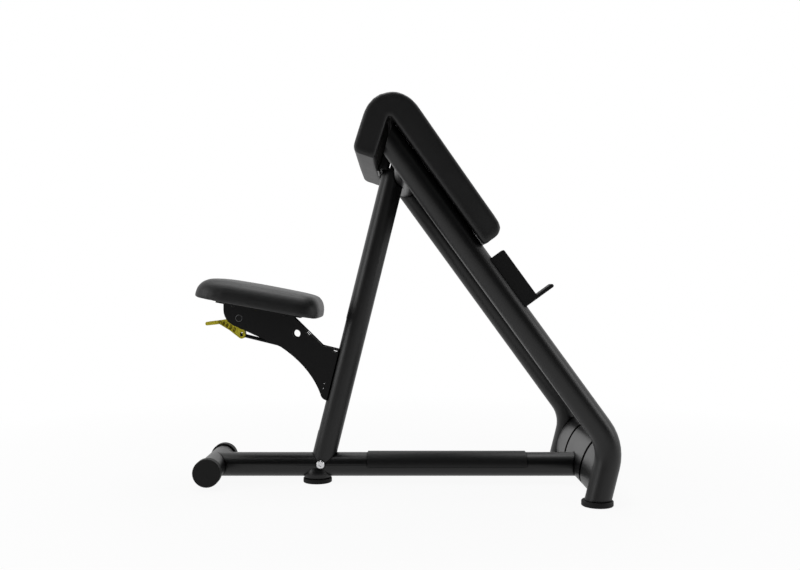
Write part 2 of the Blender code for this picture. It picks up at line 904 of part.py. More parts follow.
def pad_lines(crown, roll):
    """The pad's corners as lines pushed inwards: crown moves the outer faces, roll moves all."""
    arm_inner_point = leg_axis_at(arm_end_height)
    arm_inner_point = arm_inner_point + leg_out * (tube_radius + pad_stand)
    arm_way = Vector((math.cos(arm_top_slope), -math.sin(arm_top_slope)))
    arm_face = Vector((math.sin(arm_top_slope), math.cos(arm_top_slope)))
    chest_down = Vector((-math.cos(chest_slope), -math.sin(chest_slope)))
    chest_face = Vector((chest_down.y, -chest_down.x))
    chest_inner_point = leg_axis_at(chest_end_height) - Vector((chest_end_back, 0))
    arm_outer_point = arm_inner_point + leg_out * arm_end_thickness
    chest_outer_point = chest_inner_point + chest_face * chest_thickness
    outer = crown + roll
    crisp = roll * pad_crisp_share
    arm_end = (arm_outer_point + arm_way * (-roll), arm_face)
    arm_outer = (arm_outer_point - arm_face * outer, arm_way)
    chest_outer = (chest_outer_point - chest_face * outer, chest_down)
    chest_end = (chest_outer_point - chest_down * crisp, chest_face)
    chest_inner = (chest_inner_point + chest_face * crisp, chest_down)
    arm_inner = (arm_inner_point + leg_out * crisp, leg_up)
    return arm_end, arm_outer, chest_outer, chest_end, chest_inner, arm_inner


def chest_inner_face():
    """The chest side's lower inner corner, the way up its inner face and the way off it."""
    _, _, _, chest_end, chest_inner, _ = pad_lines(0, 0)
    up = -chest_inner[1]
    return crossing(*chest_end, *chest_inner), up, Vector((up.y, -up.x))


def pad_outline(crown, roll):
    arm_end, arm_outer, chest_outer, chest_end, chest_inner, arm_inner = pad_lines(crown, roll)
    corners = [
        (*crossing(*arm_inner, *arm_end), max(pad_inner_radius - roll, pad_least_radius)),
        (*crossing(*arm_end, *arm_outer), arm_corner_radius - roll),
        (*crossing(*arm_outer, *chest_outer), pad_ridge_radius - roll),
        (*crossing(*chest_outer, *chest_end), chest_corner_radius - roll),
        (*crossing(*chest_end, *chest_inner), max(pad_inner_radius - roll, pad_least_radius)),
        (*crossing(*chest_inner, *arm_inner), pad_notch_radius + roll * pad_crisp_share),
    ]
    return rounded(corners)


def make_arm_pad(finishes):
    half = pad_width / 2
    flat = half - pad_edge_roll
    stations = []
    for k in range(pad_roll_steps + 1):
        angle = math.pi / 2 * (1 - k / pad_roll_steps)
        y = flat + pad_edge_roll * math.sin(angle)
        stations.append((-y, pad_edge_roll * (1 - math.cos(angle))))
    middle = [
        (-flat + 2 * flat * k / pad_middle_steps, 0.0) for k in range(1, pad_middle_steps)
    ]
    mirrored = [(-y, roll) for y, roll in reversed(stations)]
    rings = []
    for y, roll in stations + middle + mirrored:
        crown = pad_crown * min(1.0, abs(y) / flat) ** 2
        rings.append([in_space(point, y) for point in pad_outline(crown, roll)])
    pad = place("arm_pad", loft_mesh(rings), finishes["vinyl"], 50)
    for name, corners in board_corners(weld_gap).items():
        half_board = half - board_side_margin + weld_gap
        pocket = slanted_box(name + "_pocket", corners, -half_board, half_board, finishes["plywood"])
        combine(pad, pocket)


def board_corners(grow):
    """The two boards let into the pad's underside, in the X-Z plane."""
    arm_end, _, _, chest_end, chest_inner, arm_inner = pad_lines(0, 0)
    arm_foot = crossing(*arm_inner, *arm_end)
    chest_foot = crossing(*chest_end, *chest_inner)
    chest_up = -chest_inner[1]
    chest_in = Vector((-chest_up.y, chest_up.x))
    boards = {}
    for name, foot, way, into, start, length in (
        ("arm_pad_board", arm_foot, leg_up, leg_out, arm_board_start, arm_board_length),
        ("chest_pad_board", chest_foot, chest_up, chest_in, chest_board_start, chest_board_length),
    ):
        low, high = start - grow, start + length + grow
        under = -pocket_past if grow else 0.0
        deep = board_thickness + grow
        boards[name] = [
            foot + way * low + into * under, foot + way * high + into * under,
            foot + way * high + into * deep, foot + way * low + into * deep,
        ]
    return boards


def make_pad_boards(finishes):
    made = {}
    half_board = pad_width / 2 - board_side_margin
    for name, corners in board_corners(0).items():
        made[name] = slanted_box(name, corners, -half_board, half_board, finishes["plywood"])
    return made


def screw_mesh(seat, way, grip):
    """A button-head screw: seat is under its head, and way runs along its shank."""
    profile = [
        (0.0, -screw_head_height), (screw_head_radius * screw_crown_share, -screw_head_height),
        (screw_head_radius, -screw_head_height * screw_rim_share), (screw_head_radius, 0.0),
        (screw_radius, 0.0), (screw_radius, grip), (0.0, grip),
    ]
    return turned_mesh(seat, way, profile, tiny_facets)


def make_rails(finishes, boards):
    coat = finishes["powder coat"]
    arm_end, _, _, _, _, arm_inner = pad_lines(0, 0)
    foot = crossing(*arm_inner, *arm_end)
    upper = -weld_gap
    lower = upper - rail_thickness
    for side in (1, -1):
        name = "pad_rail_" + side_name(side)
        middle = side * (leg_half_track - rail_offset)
        corners = [
            foot + leg_up * rail_start + leg_out * lower,
            foot + leg_up * (rail_start + rail_length) + leg_out * lower,
            foot + leg_up * (rail_start + rail_length) + leg_out * upper,
            foot + leg_up * rail_start + leg_out * upper,
        ]
        rail = slanted_box(name, corners, middle - rail_width / 2, middle + rail_width / 2, coat)
        saddle = leg_solid(
            name + "_leg_cut", side * leg_half_track, tube_radius + weld_gap, leg_low_height,
            leg_top_height, coat,
        )
        combine(rail, saddle)
        screw_y = middle - side * (rail_width / 2 - screw_head_radius * screw_edge_share)
        for place_name, along in (
            ("lower", rail_start + rail_screw_inset),
            ("upper", rail_start + rail_length - rail_screw_inset),
        ):
            seat = in_space(foot + leg_up * along + leg_out * (lower - weld_gap), screw_y)
            way = in_space(leg_out, 0)
            grip = rail_thickness + screw_grip
            screw_name = f"pad_screw_{place_name}_{side_name(side)}"
            place(screw_name, screw_mesh(seat, way, grip), finishes["dark steel"])
            hole = place(
                screw_name + "_hole",
                rod_mesh(seat - way * pocket_past, seat + way * (grip + weld_gap),
                         screw_radius + weld_gap, tiny_facets),
                coat,
            )
            combine(rail, hole)
            combine(boards["arm_pad_board"], hole)


def make_chest_bracket(finishes, boards):
    coat = finishes["powder coat"]
    foot, up, off = chest_inner_face()
    base_z = post_top_height + weld_gap
    start = (base_z - foot.y) / up.y
    upstand_half = bracket_width / 2
    bracket = slanted_box(
        "chest_pad_bracket",
        [
            foot + up * (start - bracket_lip) + off * weld_gap,
            foot + up * (start + bracket_upstand) + off * weld_gap,
            foot + up * (start + bracket_upstand) + off * (weld_gap + bracket_thickness),
            foot + up * (start - bracket_lip) + off * (weld_gap + bracket_thickness),
        ],
        -upstand_half, upstand_half, coat,
    )
    front_x = on_post((base_z - base_axis_height) / post_up.y, 0).x + bracket_front_reach
    heel_x = (foot + up * (start + bracket_thickness / 2) + off * (weld_gap + bracket_thickness / 2)).x
    sole = box(
        "chest_bracket_sole", (heel_x, -bracket_base_width / 2, base_z),
        (front_x, bracket_base_width / 2, base_z + bracket_thickness), coat,
    )
    combine(bracket, sole, "UNION")
    lift = bracket_flange_depth * up.x / up.y
    flange_corners = [
        foot + up * start + off * (weld_gap + bracket_thickness / 2),
        foot + up * (start + bracket_upstand) + off * (weld_gap + bracket_thickness / 2),
        foot + up * (start + bracket_upstand) + off * (weld_gap + bracket_thickness),
        foot + up * (start + bracket_upstand * bracket_flange_share) + off * bracket_flange_depth,
        foot + up * (start + lift) + off * bracket_flange_depth,
    ]
    for side in (1, -1):
        ends = sorted((side * (upstand_half - bracket_thickness), side * upstand_half))
        flange = slanted_box("chest_bracket_flange_" + side_name(side), flange_corners, *ends, coat)
        combine(bracket, flange, "UNION")
    for side in (1, -1):
        screw_y = side * (upstand_half - screw_head_radius * 2)
        seat = in_space(
            foot + up * (start + bracket_upstand * bracket_screw_share)
            + off * (2 * weld_gap + bracket_thickness),
            screw_y,
        )
        way = in_space(-off, 0)
        grip = bracket_thickness + screw_grip
        name = "chest_pad_screw_" + side_name(side)
        place(name, screw_mesh(seat, way, grip), finishes["dark steel"])
        hole = place(
            name + "_hole",
            rod_mesh(seat - way * pocket_past, seat + way * (grip + weld_gap),
                     screw_radius + weld_gap, tiny_facets),
            coat,
        )
        combine(bracket, hole)
        combine(boards["chest_pad_board"], hole)


# Seat


seat_along = Vector((math.cos(seat_tilt), -math.sin(seat_tilt)))
seat_up = Vector((math.sin(seat_tilt), math.cos(seat_tilt)))
post_rear_at_seat = on_post((seat_bottom_height - base_axis_height) / post_up.y, 0).x - (
    tube_radius / post_up.y
)
seat_front = Vector((post_rear_at_seat - seat_front_gap, seat_bottom_height))
seat_rear = seat_front - seat_along * seat_length


def on_seat(along, up):
    """A point in the X-Z plane from the seat's rear lower end."""
    return seat_rear + seat_along * along + seat_up * up


def seat_plan(turn, shrink=0.0):
    """The seat's outline seen from above, as (along, across) from its middle."""
    power = 2 / seat_plan_power
    away = math.cos(turn)
    across = math.sin(turn)
    along = math.copysign(abs(away) ** power, away) * (seat_length / 2 - shrink)
    width = seat_rear_width + (seat_width - seat_rear_width) * min(1.0, (away + 1) / 1.5)
    return along, math.copysign(abs(across) ** power, across) * (width / 2 - shrink)


def seat_ring(height, inset_front, inset_rear, y_inset):
    ring = []
    for k in range(seat_ring_count):
        turn = math.tau * k / seat_ring_count
        along, across = seat_plan(turn)
        rearward = (1 - math.cos(turn)) / 2
        inset = inset_front + (inset_rear - inset_front) * rearward
        along *= 1 - inset / (seat_length / 2)
        across *= 1 - y_inset / (seat_width / 2)
        ring.append(in_space(on_seat(seat_length / 2 + along, height), across))
    return ring


def make_seat_cushion(finishes):
    """Turned-in lower edge, full sides, a crowned top that rounds far more at the rear."""
    rings = [
        seat_ring(0.0, seat_lower_inset, seat_lower_inset, seat_lower_inset),
        seat_ring(seat_lower_edge, 0.0, 0.0, 0.0),
    ]
    steps = 7
    for k in range(steps + 1):
        lean = math.pi / 2 * k / steps
        shoulder = (1 - seat_side_share) * math.sin(lean) * seat_shoulder_share
        inward = 1 - math.cos(lean)
        rings.append(seat_ring(
            seat_thickness * (seat_side_share + shoulder),
            seat_front_round * inward, seat_rear_round * inward, seat_side_round * inward,
        ))
    for share, lift in ((0.5, 0.978), (0.85, 1.0)):
        rings.append(seat_ring(
            seat_thickness * lift,
            seat_front_round + share * (seat_length / 2 - seat_front_round - seat_lower_edge),
            seat_rear_round + share * (seat_length / 2 - seat_rear_round - seat_lower_edge),
            seat_side_round + share * (seat_width / 2 - seat_side_round - seat_lower_edge),
        ))
    cushion = place("seat_cushion", loft_mesh(rings), finishes["vinyl"], 50)
    pocket = place("seat_board_pocket", seat_board_mesh(weld_gap), finishes["plywood"])
    combine(cushion, pocket)


def seat_board_mesh(grow):
    low = -pocket_past if grow else 0.0
    rings = []
    for height in (low, board_thickness + grow):
        ring = []
        for k in range(board_ring_count):
            turn = math.tau * k / board_ring_count
            along, across = seat_plan(turn, seat_board_margin - grow)
            ring.append(in_space(on_seat(seat_length / 2 + along, height), across))
        rings.append(ring)
    return loft_mesh(rings)


def make_seat_mounting(finishes):
    coat = finishes["plate coat"]
    board = place("seat_board", seat_board_mesh(0), finishes["plywood"])
    low = -weld_gap - seat_plate_thickness
    corners = [
        on_seat(seat_plate_start, low), on_seat(seat_plate_start + seat_plate_length, low),
        on_seat(seat_plate_start + seat_plate_length, -weld_gap), on_seat(seat_plate_start, -weld_gap),
    ]
    plate = slanted_box("seat_plate", corners, -seat_plate_width / 2, seat_plate_width / 2, coat)
    for end, along in (
        ("rear", seat_plate_start + seat_screw_inset),
        ("front", seat_plate_start + seat_plate_length - seat_screw_inset),
    ):
        for side in (1, -1):
            name = f"seat_screw_{end}_{side_name(side)}"
            seat = in_space(on_seat(along, low - weld_gap), side * seat_screw_half_span)
            way = in_space(seat_up, 0)
            grip = seat_plate_thickness + screw_grip
            place(name, screw_mesh(seat, way, grip), finishes["dark steel"])
            hole = place(
                name + "_hole",
                rod_mesh(seat - way * pocket_past, seat + way * (grip + weld_gap),
                         screw_radius + weld_gap, tiny_facets),
                coat,
            )
            combine(plate, hole)
            combine(board, hole)


# Seat carriage, locking pin and lever

pin_axis_way = in_space(post_back, 0)
block_front = tube_radius + running_gap * 2


def pin_point(back):
    """A point on the locking pin's axis, behind the post's axis."""
    return on_post(pin_axis_along, back)


cross_pin_place = pin_point(rod_end_reach)
lever_pivot = cross_pin_place + Vector((
    -lever_arm * math.sin(lever_pivot_angle), lever_arm * math.cos(lever_pivot_angle)
))


plate_elbow = on_post(plate_high_along, plate_elbow_back)


def carriage_outline():
    """One side plate, from its upper rear corner round to the post and back under the seat."""
    under_seat = -2 * weld_gap - seat_plate_thickness
    front = tube_radius - plate_post_lap
    rear_along = (lever_pivot - seat_rear).dot(seat_along) - plate_rear_cover
    corners = [
        (*on_seat(rear_along, under_seat), 0.0),
        (*(lever_pivot + Vector((-plate_rear_reach, -plate_rear_drop))), plate_rear_radius),
    ]
    curve_start, curve_end = on_post(*plate_curve_rear), on_post(*plate_curve_low)
    bulge = on_post(*plate_curve_pull)
    outline = rounded([*corners, (*curve_start, 0.0)])[: -1]
    for k in range(plate_curve_steps + 1):
        t = k / plate_curve_steps
        outline.append(tuple(
            curve_start * (1 - t) ** 2 + bulge * 2 * t * (1 - t) + curve_end * t ** 2
        ))
    outline += [tuple(on_post(*point)) for point in plate_tip_points]
    outline += [
        tuple(on_post(plate_low_along, front)), tuple(on_post(plate_high_along, front)),
        tuple(plate_elbow), tuple(on_seat(plate_front_along, under_seat)),
    ]
    return outline


def make_carriage_plates(finishes):
    coat = finishes["plate coat"]
    for side in (1, -1):
        inner = side * plate_spacing / 2
        outer = side * (plate_spacing / 2 + plate_thickness)
        low, high = min(inner, outer), max(inner, outer)
        name = "carriage_plate_" + side_name(side)
        plate = place(name, prism_mesh(carriage_outline(), low, high), coat)
        holes = {
            "view": (on_post(*view_hole_place), view_hole_radius, small_facets),
            "pivot": (lever_pivot, lever_pin_radius + weld_gap, small_facets),
            "upper_rivet": (on_post(*rivet_places[0]), rivet_radius, rivet_facets),
            "lower_rivet": (on_post(*rivet_places[1]), rivet_radius, rivet_facets),
        }
        for what, (centre, radius, facets) in holes.items():
            start, end = in_space(centre, low - pocket_past), in_space(centre, high + pocket_past)
            hole = place(f"{name}_{what}_hole", rod_mesh(start, end, radius, facets), coat)
            combine(plate, hole)
        slant = (plate_elbow - on_seat(plate_front_along, 0)).normalized()
        for what, centre, way in (
            ("upper_slot", on_post(*upper_slot_place), slant),
            ("lower_slot", on_post(*lower_slot_place), post_back),
        ):
            across = Vector((-way.y, way.x))
            slot = slanted_box(
                f"{name}_{what}",
                [centre - way * slot_half_long - across * slot_half_wide,
                 centre + way * slot_half_long - across * slot_half_wide,
                 centre + way * slot_half_long + across * slot_half_wide,
                 centre - way * slot_half_long + across * slot_half_wide],
                low - pocket_past, high + pocket_past, coat,
            )
            combine(plate, slot)


def make_carriage_block(finishes):
    steel = finishes["plate coat"]
    half = plate_spacing / 2 - weld_gap
    top = block_top_along - block_top_drop
    block = slanted_box(
        "carriage_block",
        [on_post(block_bottom_along, block_front), on_post(top, block_front),
         on_post(top, block_rear), on_post(pin_axis_along - block_lower_rear_drop, block_rear)],
        -half, half, steel,
    )
    tongue_half = tongue_thickness / 2
    tongue_low, tongue_high = block_bottom_along + tongue_end_inset, top - tongue_end_inset
    tongue_rear = block_front + tongue_end_inset
    tongue = slanted_box(
        "carriage_tongue",
        [on_post(tongue_low, tongue_rear), on_post(tongue_high, tongue_rear),
         on_post(tongue_high, tongue_front), on_post(tongue_low, tongue_front)],
        -tongue_half, tongue_half, steel,
    )
    combine(block, tongue, "UNION")
    bore = place(
        "carriage_pin_bore",
        rod_mesh(in_space(pin_point(0.0), 0), in_space(pin_point(block_rear + past_face), 0),
                 pin_radius + weld_gap, small_facets),
        steel,
    )
    combine(block, bore)
    spring_bore = place(
        "carriage_spring_bore",
        rod_mesh(in_space(pin_point(block_front + spring_bore_floor), 0),
                 in_space(pin_point(block_rear + past_face), 0), spring_bore_radius, small_facets),
        steel,
    )
    combine(block, spring_bore)


def make_slider_shoe(finishes):
    middle = (block_bottom_along + block_top_along) / 2
    low, high = middle - shoe_half_length, middle + shoe_half_length
    nylon = finishes["nylon"]
    shoe = place(
        "slider_shoe",
        rod_mesh(in_space(on_post(low, 0), 0), in_space(on_post(high, 0), 0),
                 bore_radius - running_gap, tube_facets),
        nylon,
    )
    bar_face = -index_bar_offset + index_bar_thickness / 2 + running_gap
    front_cut = slanted_box(
        "shoe_front_cut",
        [on_post(low - past_face, bar_face), on_post(high + past_face, bar_face),
         on_post(high + past_face, -tube_radius), on_post(low - past_face, -tube_radius)],
        -tube_radius, tube_radius, nylon,
    )
    combine(shoe, front_cut)
    groove_half = tongue_thickness / 2 + weld_gap
    groove_front = tongue_front - weld_gap
    groove = slanted_box(
        "shoe_groove_cut",
        [on_post(low - past_face, groove_front), on_post(high + past_face, groove_front),
         on_post(high + past_face, tube_radius), on_post(low - past_face, tube_radius)],
        -groove_half, groove_half, nylon,
    )
    combine(shoe, groove)
    bore = place(
        "shoe_pin_bore",
        rod_mesh(in_space(pin_point(-tube_radius), 0), in_space(pin_point(tube_radius), 0),
                 pin_radius + weld_gap, small_facets),
        nylon,
    )
    combine(shoe, bore)


def make_locking_pin(finishes):
    steel = finishes["steel"]
    collar_front = block_front + spring_bore_floor + weld_gap
    collar_rear = collar_front + pin_collar_length
    stem = pin_radius - pin_stem_step
    profile = [
        (0.0, -pin_tip), (pin_radius - pin_nose_taper, -pin_tip),
        (pin_radius, -pin_tip + pin_nose_length),
        (pin_radius, collar_front), (pin_collar_radius, collar_front),
        (pin_collar_radius, collar_rear), (stem, collar_rear),
        (stem, pin_length - pin_tip), (0.0, pin_length - pin_tip),
    ]
    place(
        "locking_pin",
        turned_mesh(in_space(pin_point(0), 0), pin_axis_way, profile, small_facets), steel,
    )
    retainer_front = block_rear - retainer_length
    ring = [
        (rod_radius + running_gap, retainer_front), (spring_bore_radius - weld_gap, retainer_front),
        (spring_bore_radius - weld_gap, block_rear), (rod_radius + running_gap, block_rear),
    ]
    place(
        "spring_retainer",
        turned_mesh(in_space(pin_point(0), 0), pin_axis_way, ring, small_facets),
        finishes["dark steel"],
    )
    make_lock_spring(finishes, collar_rear + weld_gap, retainer_front - weld_gap)
    rod_start = pin_length - pin_tip + weld_gap
    rod = place(
        "pull_rod",
        rod_mesh(in_space(pin_point(rod_start), 0),
                 in_space(pin_point(rod_end_reach + cross_pin_radius * 2), 0), rod_radius, tiny_facets),
        finishes["dark steel"],
    )
    pin_half = lever_width / 2
    eye = place(
        "pull_rod_eye",
        rod_mesh(in_space(cross_pin_place, -pin_half), in_space(cross_pin_place, pin_half),
                 cross_pin_radius + weld_gap, tiny_facets),
        finishes["dark steel"],
    )
    combine(rod, eye)
    place(
        "rod_cross_pin",
        rod_mesh(in_space(cross_pin_place, -pin_half - cross_pin_stand),
                 in_space(cross_pin_place, pin_half + cross_pin_stand), cross_pin_radius, tiny_facets),
        finishes["dark steel"],
    )


def make_lock_spring(finishes, start, end):
    """A round-wire compression spring between the pin's collar and the retainer."""
    mean = spring_bore_radius - spring_wire_radius - running_gap
    low, high = start + spring_wire_radius, end - spring_wire_radius
    count = spring_turns * spring_points_a_turn
    side = Vector((0, 1, 0))
    up = in_space(post_up, 0)
    curve = bpy.data.curves.new("lock_spring", "CURVE")
    curve.dimensions = "3D"
    curve.bevel_depth = spring_wire_radius
    curve.bevel_resolution = 1
    curve.use_fill_caps = True
    spline = curve.splines.new("POLY")
    spline.points.add(count)
    for k in range(count + 1):
        turn = math.tau * k / spring_points_a_turn
        middle = in_space(pin_point(low + (high - low) * k / count), 0)
        point = middle + side * (mean * math.cos(turn)) + up * (mean * math.sin(turn))
        spline.points[k].co = (*point, 1.0)
    curve.materials.append(finishes["steel"])
    thing = bpy.data.objects.new("lock_spring", curve)
    bpy.context.collection.objects.link(thing)


def lever_outline():
    """The lever in the X-Z plane: hub, arm down to the rod's eye, and the paddle's stem."""
    pivot, eye = lever_pivot, cross_pin_place
    steps = 8
    outline = []
    for k in range(steps + 1):
        turn = math.radians(150 - 180 * k / steps)
        outline.append(tuple(pivot + Vector((math.cos(turn), math.sin(turn))) * lever_hub_radius))
    for k in range(steps + 1):
        turn = math.radians(0 - 130 * k / steps)
        outline.append(tuple(eye + Vector((math.cos(turn), math.sin(turn))) * lever_eye_radius))
    stem_end = paddle_stem_end()
    outline.append(tuple(eye + Vector(lever_belly)))
    outline.append(tuple(stem_end + Vector((0.0, -paddle_thickness))))
    outline.append(tuple(stem_end))
    outline.append(tuple(pivot + Vector(lever_back)))
    return outline


def paddle_stem_end():
    """Where the stem meets the paddle, clear of the side plates' rear edge."""
    return lever_pivot + Vector((-paddle_reach, -paddle_drop))


def make_lever(finishes):
    yellow = finishes["yellow"]
    half = lever_width / 2
    lever = place("release_lever", prism_mesh(lever_outline(), -half, half), yellow)
    stem = paddle_stem_end()
    tip = stem + Vector((-paddle_length, -paddle_fall))
    soft = paddle_thickness * 0.45
    paddle_corners = [
        (stem.x + paddle_stem_lap, stem.y, 0.0),
        (stem.x + paddle_stem_lap, stem.y - paddle_thickness, 0.0),
        (tip.x, tip.y - paddle_thickness, soft), (tip.x, tip.y, soft),
    ]
    paddle = place(
        "lever_paddle", prism_mesh(rounded(paddle_corners), -paddle_width / 2, paddle_width / 2), yellow
    )
    combine(lever, paddle, "UNION")
    hub_hole = place(
        "lever_hub_hole",
        rod_mesh(in_space(lever_pivot, -half - past_face), in_space(lever_pivot, half + past_face),
                 lever_pin_radius + weld_gap, small_facets),
        yellow,
    )
    combine(lever, hub_hole)
    make_rod_slot(lever, yellow)
    make_lever_pockets(lever, yellow)


def make_rod_slot(lever, material):
    """The mouth for the rod and the slot in which its cross pin works as the lever swings."""
    radial = (lever_pivot - cross_pin_place).normalized()
    across = Vector((-radial.y, radial.x))
    slack = lever_arm * (1 - math.cos(lever_throw)) + rod_slot_spare
    wide = cross_pin_radius + running_gap
    low, high = -wide, slack + wide
    slot = slanted_box(
        "rod_slot_cut",
        [cross_pin_place + radial * low - across * wide, cross_pin_place + radial * low + across * wide,
         cross_pin_place + radial * high + across * wide, cross_pin_place + radial * high - across * wide],
        -lever_width, lever_width, material,
    )
    combine(lever, slot)
    mouth_half = rod_radius + running_gap
    mouth = slanted_box(
        "rod_mouth_cut",
        [cross_pin_place + Vector((-rod_mouth_rear, -rod_mouth_down)),
         cross_pin_place + Vector((rod_mouth_front, -rod_mouth_down)),
         cross_pin_place + Vector((rod_mouth_front, rod_mouth_up)),
         cross_pin_place + Vector((-rod_mouth_rear, rod_mouth_up))],
        -mouth_half, mouth_half, material,
    )
    combine(lever, mouth)


def make_lever_pockets(lever, material):
    """Moulding pockets on both faces of the lever's arm, which leave its ribs standing."""
    start = cross_pin_place + Vector(pocket_start)
    end = paddle_stem_end() + Vector(pocket_end)
    way = (end - start).normalized()
    across = Vector((-way.y, way.x))
    pitch = (end - start).length / pocket_count
    for k in range(pocket_count):
        low, high = k * pitch, (k + pocket_share) * pitch
        width = pocket_half_width - pocket_taper * k
        for side in (1, -1):
            near, far = side * pocket_web_half, side * lever_width
            pocket = slanted_box(
                f"lever_pocket_{k}_{side_name(side)}",
                [start + way * low - across * width, start + way * high - across * width,
                 start + way * high + across * width, start + way * low + across * width],
                min(near, far), max(near, far), material,
            )
            combine(lever, pocket)


def make_lever_pin(finishes):
    half = plate_spacing / 2 + plate_thickness
    place(
        "lever_pin",
        rod_mesh(in_space(lever_pivot, -half), in_space(lever_pivot, half), lever_pin_radius,
                 small_facets),
        finishes["plate coat"],
    )
    for side in (1, -1):
        inner = lever_width / 2 + weld_gap
        outer = plate_spacing / 2 - weld_gap
        ring = [
            (lever_pin_radius + weld_gap, inner), (lever_hub_radius, inner),
            (lever_hub_radius, outer), (lever_pin_radius + weld_gap, outer),
        ]
        place(
            "lever_bush_" + side_name(side),
            turned_mesh(in_space(lever_pivot, 0), (0, side, 0), ring, small_facets),
            finishes["nylon"],
        )


seat_carriage = (
    "carriage_plate_left", "carriage_plate_right", "carriage_block", "slider_shoe",
    "spring_retainer", "lock_spring", "seat_plate", "seat_board", "seat_cushion", "lever_pin",
    "lever_bush_left", "lever_bush_right", "seat_screw_front_left", "seat_screw_front_right",
    "seat_screw_rear_left", "seat_screw_rear_right",
)
locking_pieces = ("locking_pin", "pull_rod", "rod_cross_pin")


def hang_on_joint(name, flat, pieces):
    """Parents pieces to an empty that stands on their joint's axis."""
    joint = bpy.data.objects.new(name, None)
    joint.location = in_space(flat, 0)
    bpy.context.collection.objects.link(joint)
    for piece in pieces:
        thing = bpy.data.objects[piece]
        thing.parent = joint
        thing.matrix_parent_inverse = Matrix.Translation(-joint.location)


def main():
    clear_scene()
    finishes = make_finishes()
    make_rear_crossbar(finishes)
    make_base_tube(finishes)
    make_tread_sleeve(finishes)
    make_cross_bolt(finishes)
    make_middle_foot(finishes)
    make_legs(finishes)
    make_front_beam(finishes)
    make_top_crossbar(finishes)
    make_rests(finishes)
    make_post(finishes)
    make_index_bar(finishes)
    make_arm_pad(finishes)
    boards = make_pad_boards(finishes)
    make_rails(finishes, boards)
    make_chest_bracket(finishes, boards)
    make_seat_cushion(finishes)
    make_seat_mounting(finishes)
    make_carriage_plates(finishes)
    make_carriage_block(finishes)
    make_slider_shoe(finishes)
    make_locking_pin(finishes)
    make_lever(finishes)
    make_lever_pin(finishes)
    hang_on_joint("seat_height_joint", pin_point(0), seat_carriage)
    hang_on_joint("locking_pin_joint", pin_point(0), locking_pieces)
    hang_on_joint("release_lever_joint", lever_pivot, ("release_lever",))


main()
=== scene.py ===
# %% [markdown]
# # Dressing a preacher bench
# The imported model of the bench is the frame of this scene. Every rigid piece is already
# the right size there, so this lesson adds what a photograph shows and a solid doesn't:
# eased edges, moulded and upholstered surfaces, finishes, light and a camera.
# The cells run from top to bottom, and each one prints what it made.

# %% Load the frame
import json
import math

import bmesh
import bpy
import numpy as np
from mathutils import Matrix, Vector


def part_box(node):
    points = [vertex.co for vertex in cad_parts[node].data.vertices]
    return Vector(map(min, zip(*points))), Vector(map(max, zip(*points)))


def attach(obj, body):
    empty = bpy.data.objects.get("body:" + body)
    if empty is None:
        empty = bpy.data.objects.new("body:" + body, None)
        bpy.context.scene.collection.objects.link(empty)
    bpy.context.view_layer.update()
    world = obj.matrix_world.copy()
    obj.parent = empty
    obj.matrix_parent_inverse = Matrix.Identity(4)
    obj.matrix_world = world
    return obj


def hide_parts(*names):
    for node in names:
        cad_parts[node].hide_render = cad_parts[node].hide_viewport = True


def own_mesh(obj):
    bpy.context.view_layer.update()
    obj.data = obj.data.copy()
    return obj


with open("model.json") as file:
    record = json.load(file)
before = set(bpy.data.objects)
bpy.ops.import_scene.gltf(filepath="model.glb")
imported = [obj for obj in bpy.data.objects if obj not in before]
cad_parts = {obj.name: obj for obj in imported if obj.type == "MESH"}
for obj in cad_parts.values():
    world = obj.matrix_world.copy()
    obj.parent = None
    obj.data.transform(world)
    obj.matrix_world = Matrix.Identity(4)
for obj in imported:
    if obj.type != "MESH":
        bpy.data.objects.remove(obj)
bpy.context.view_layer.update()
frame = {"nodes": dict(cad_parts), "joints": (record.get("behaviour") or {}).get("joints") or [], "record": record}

bodies = frame["record"]["behaviour"]["bodies"]

# %% [markdown]
# ## The camera
# The photograph is a side view with a little perspective: the far leg shows beside the
# near one, and the rear crossbar's two caps don't line up. From how far apart they lie,
# the camera stood about 2.5 m from the bench's middle plane, 545 mm above the floor, and
# looked level along +Y. The focal length follows from the bench's size in the picture.

# %% Place the camera
picture_width = 800
picture_height = 570
focal_pixels = 901.5
camera_height = 0.545
camera_distance = 2.5
camera_data = bpy.data.cameras.new("side_camera")
camera_data.sensor_width = 36.0
camera_data.lens = 36.0 * focal_pixels / picture_width
camera = bpy.data.objects.new("side_camera", camera_data)
camera.location = (0.0, -camera_distance, camera_height)
camera.rotation_euler = (math.radians(90), 0.0, 0.0)
bpy.context.scene.collection.objects.link(camera)
bpy.context.scene.camera = camera
bpy.context.scene.view_settings.view_transform = "Standard"
print("camera", camera_distance, "m away, lens", round(camera_data.lens, 2), "mm")

# %% [markdown]
# ## Shader sums
# A procedural finish is mostly arithmetic on noise. One small class wraps a node's
# output so that ordinary Python sums add the Math nodes, and one board per material adds
# every other kind of node. That keeps each finish down to a few readable lines.

# %% A socket that can be used in sums
class Wire:
    """A node's output that takes part in sums by adding Math nodes."""

    def __init__(self, board, socket):
        self.board = board
        self.socket = socket

    def sum_with(self, how, first, second):
        return self.board.node("ShaderNodeMath", {"operation": how}, {0: first, 1: second})

    def __add__(self, other):
        return self.sum_with("ADD", self, other)

    def __radd__(self, other):
        return self.sum_with("ADD", other, self)

    def __sub__(self, other):
        return self.sum_with("SUBTRACT", self, other)

    def __rsub__(self, other):
        return self.sum_with("SUBTRACT", other, self)

    def __mul__(self, other):
        return self.sum_with("MULTIPLY", self, other)

    def __rmul__(self, other):
        return self.sum_with("MULTIPLY", other, self)

    def no_more_than(self, other):
        return self.sum_with("MINIMUM", self, other)

    def no_less_than(self, other):
        return self.sum_with("MAXIMUM", self, other)


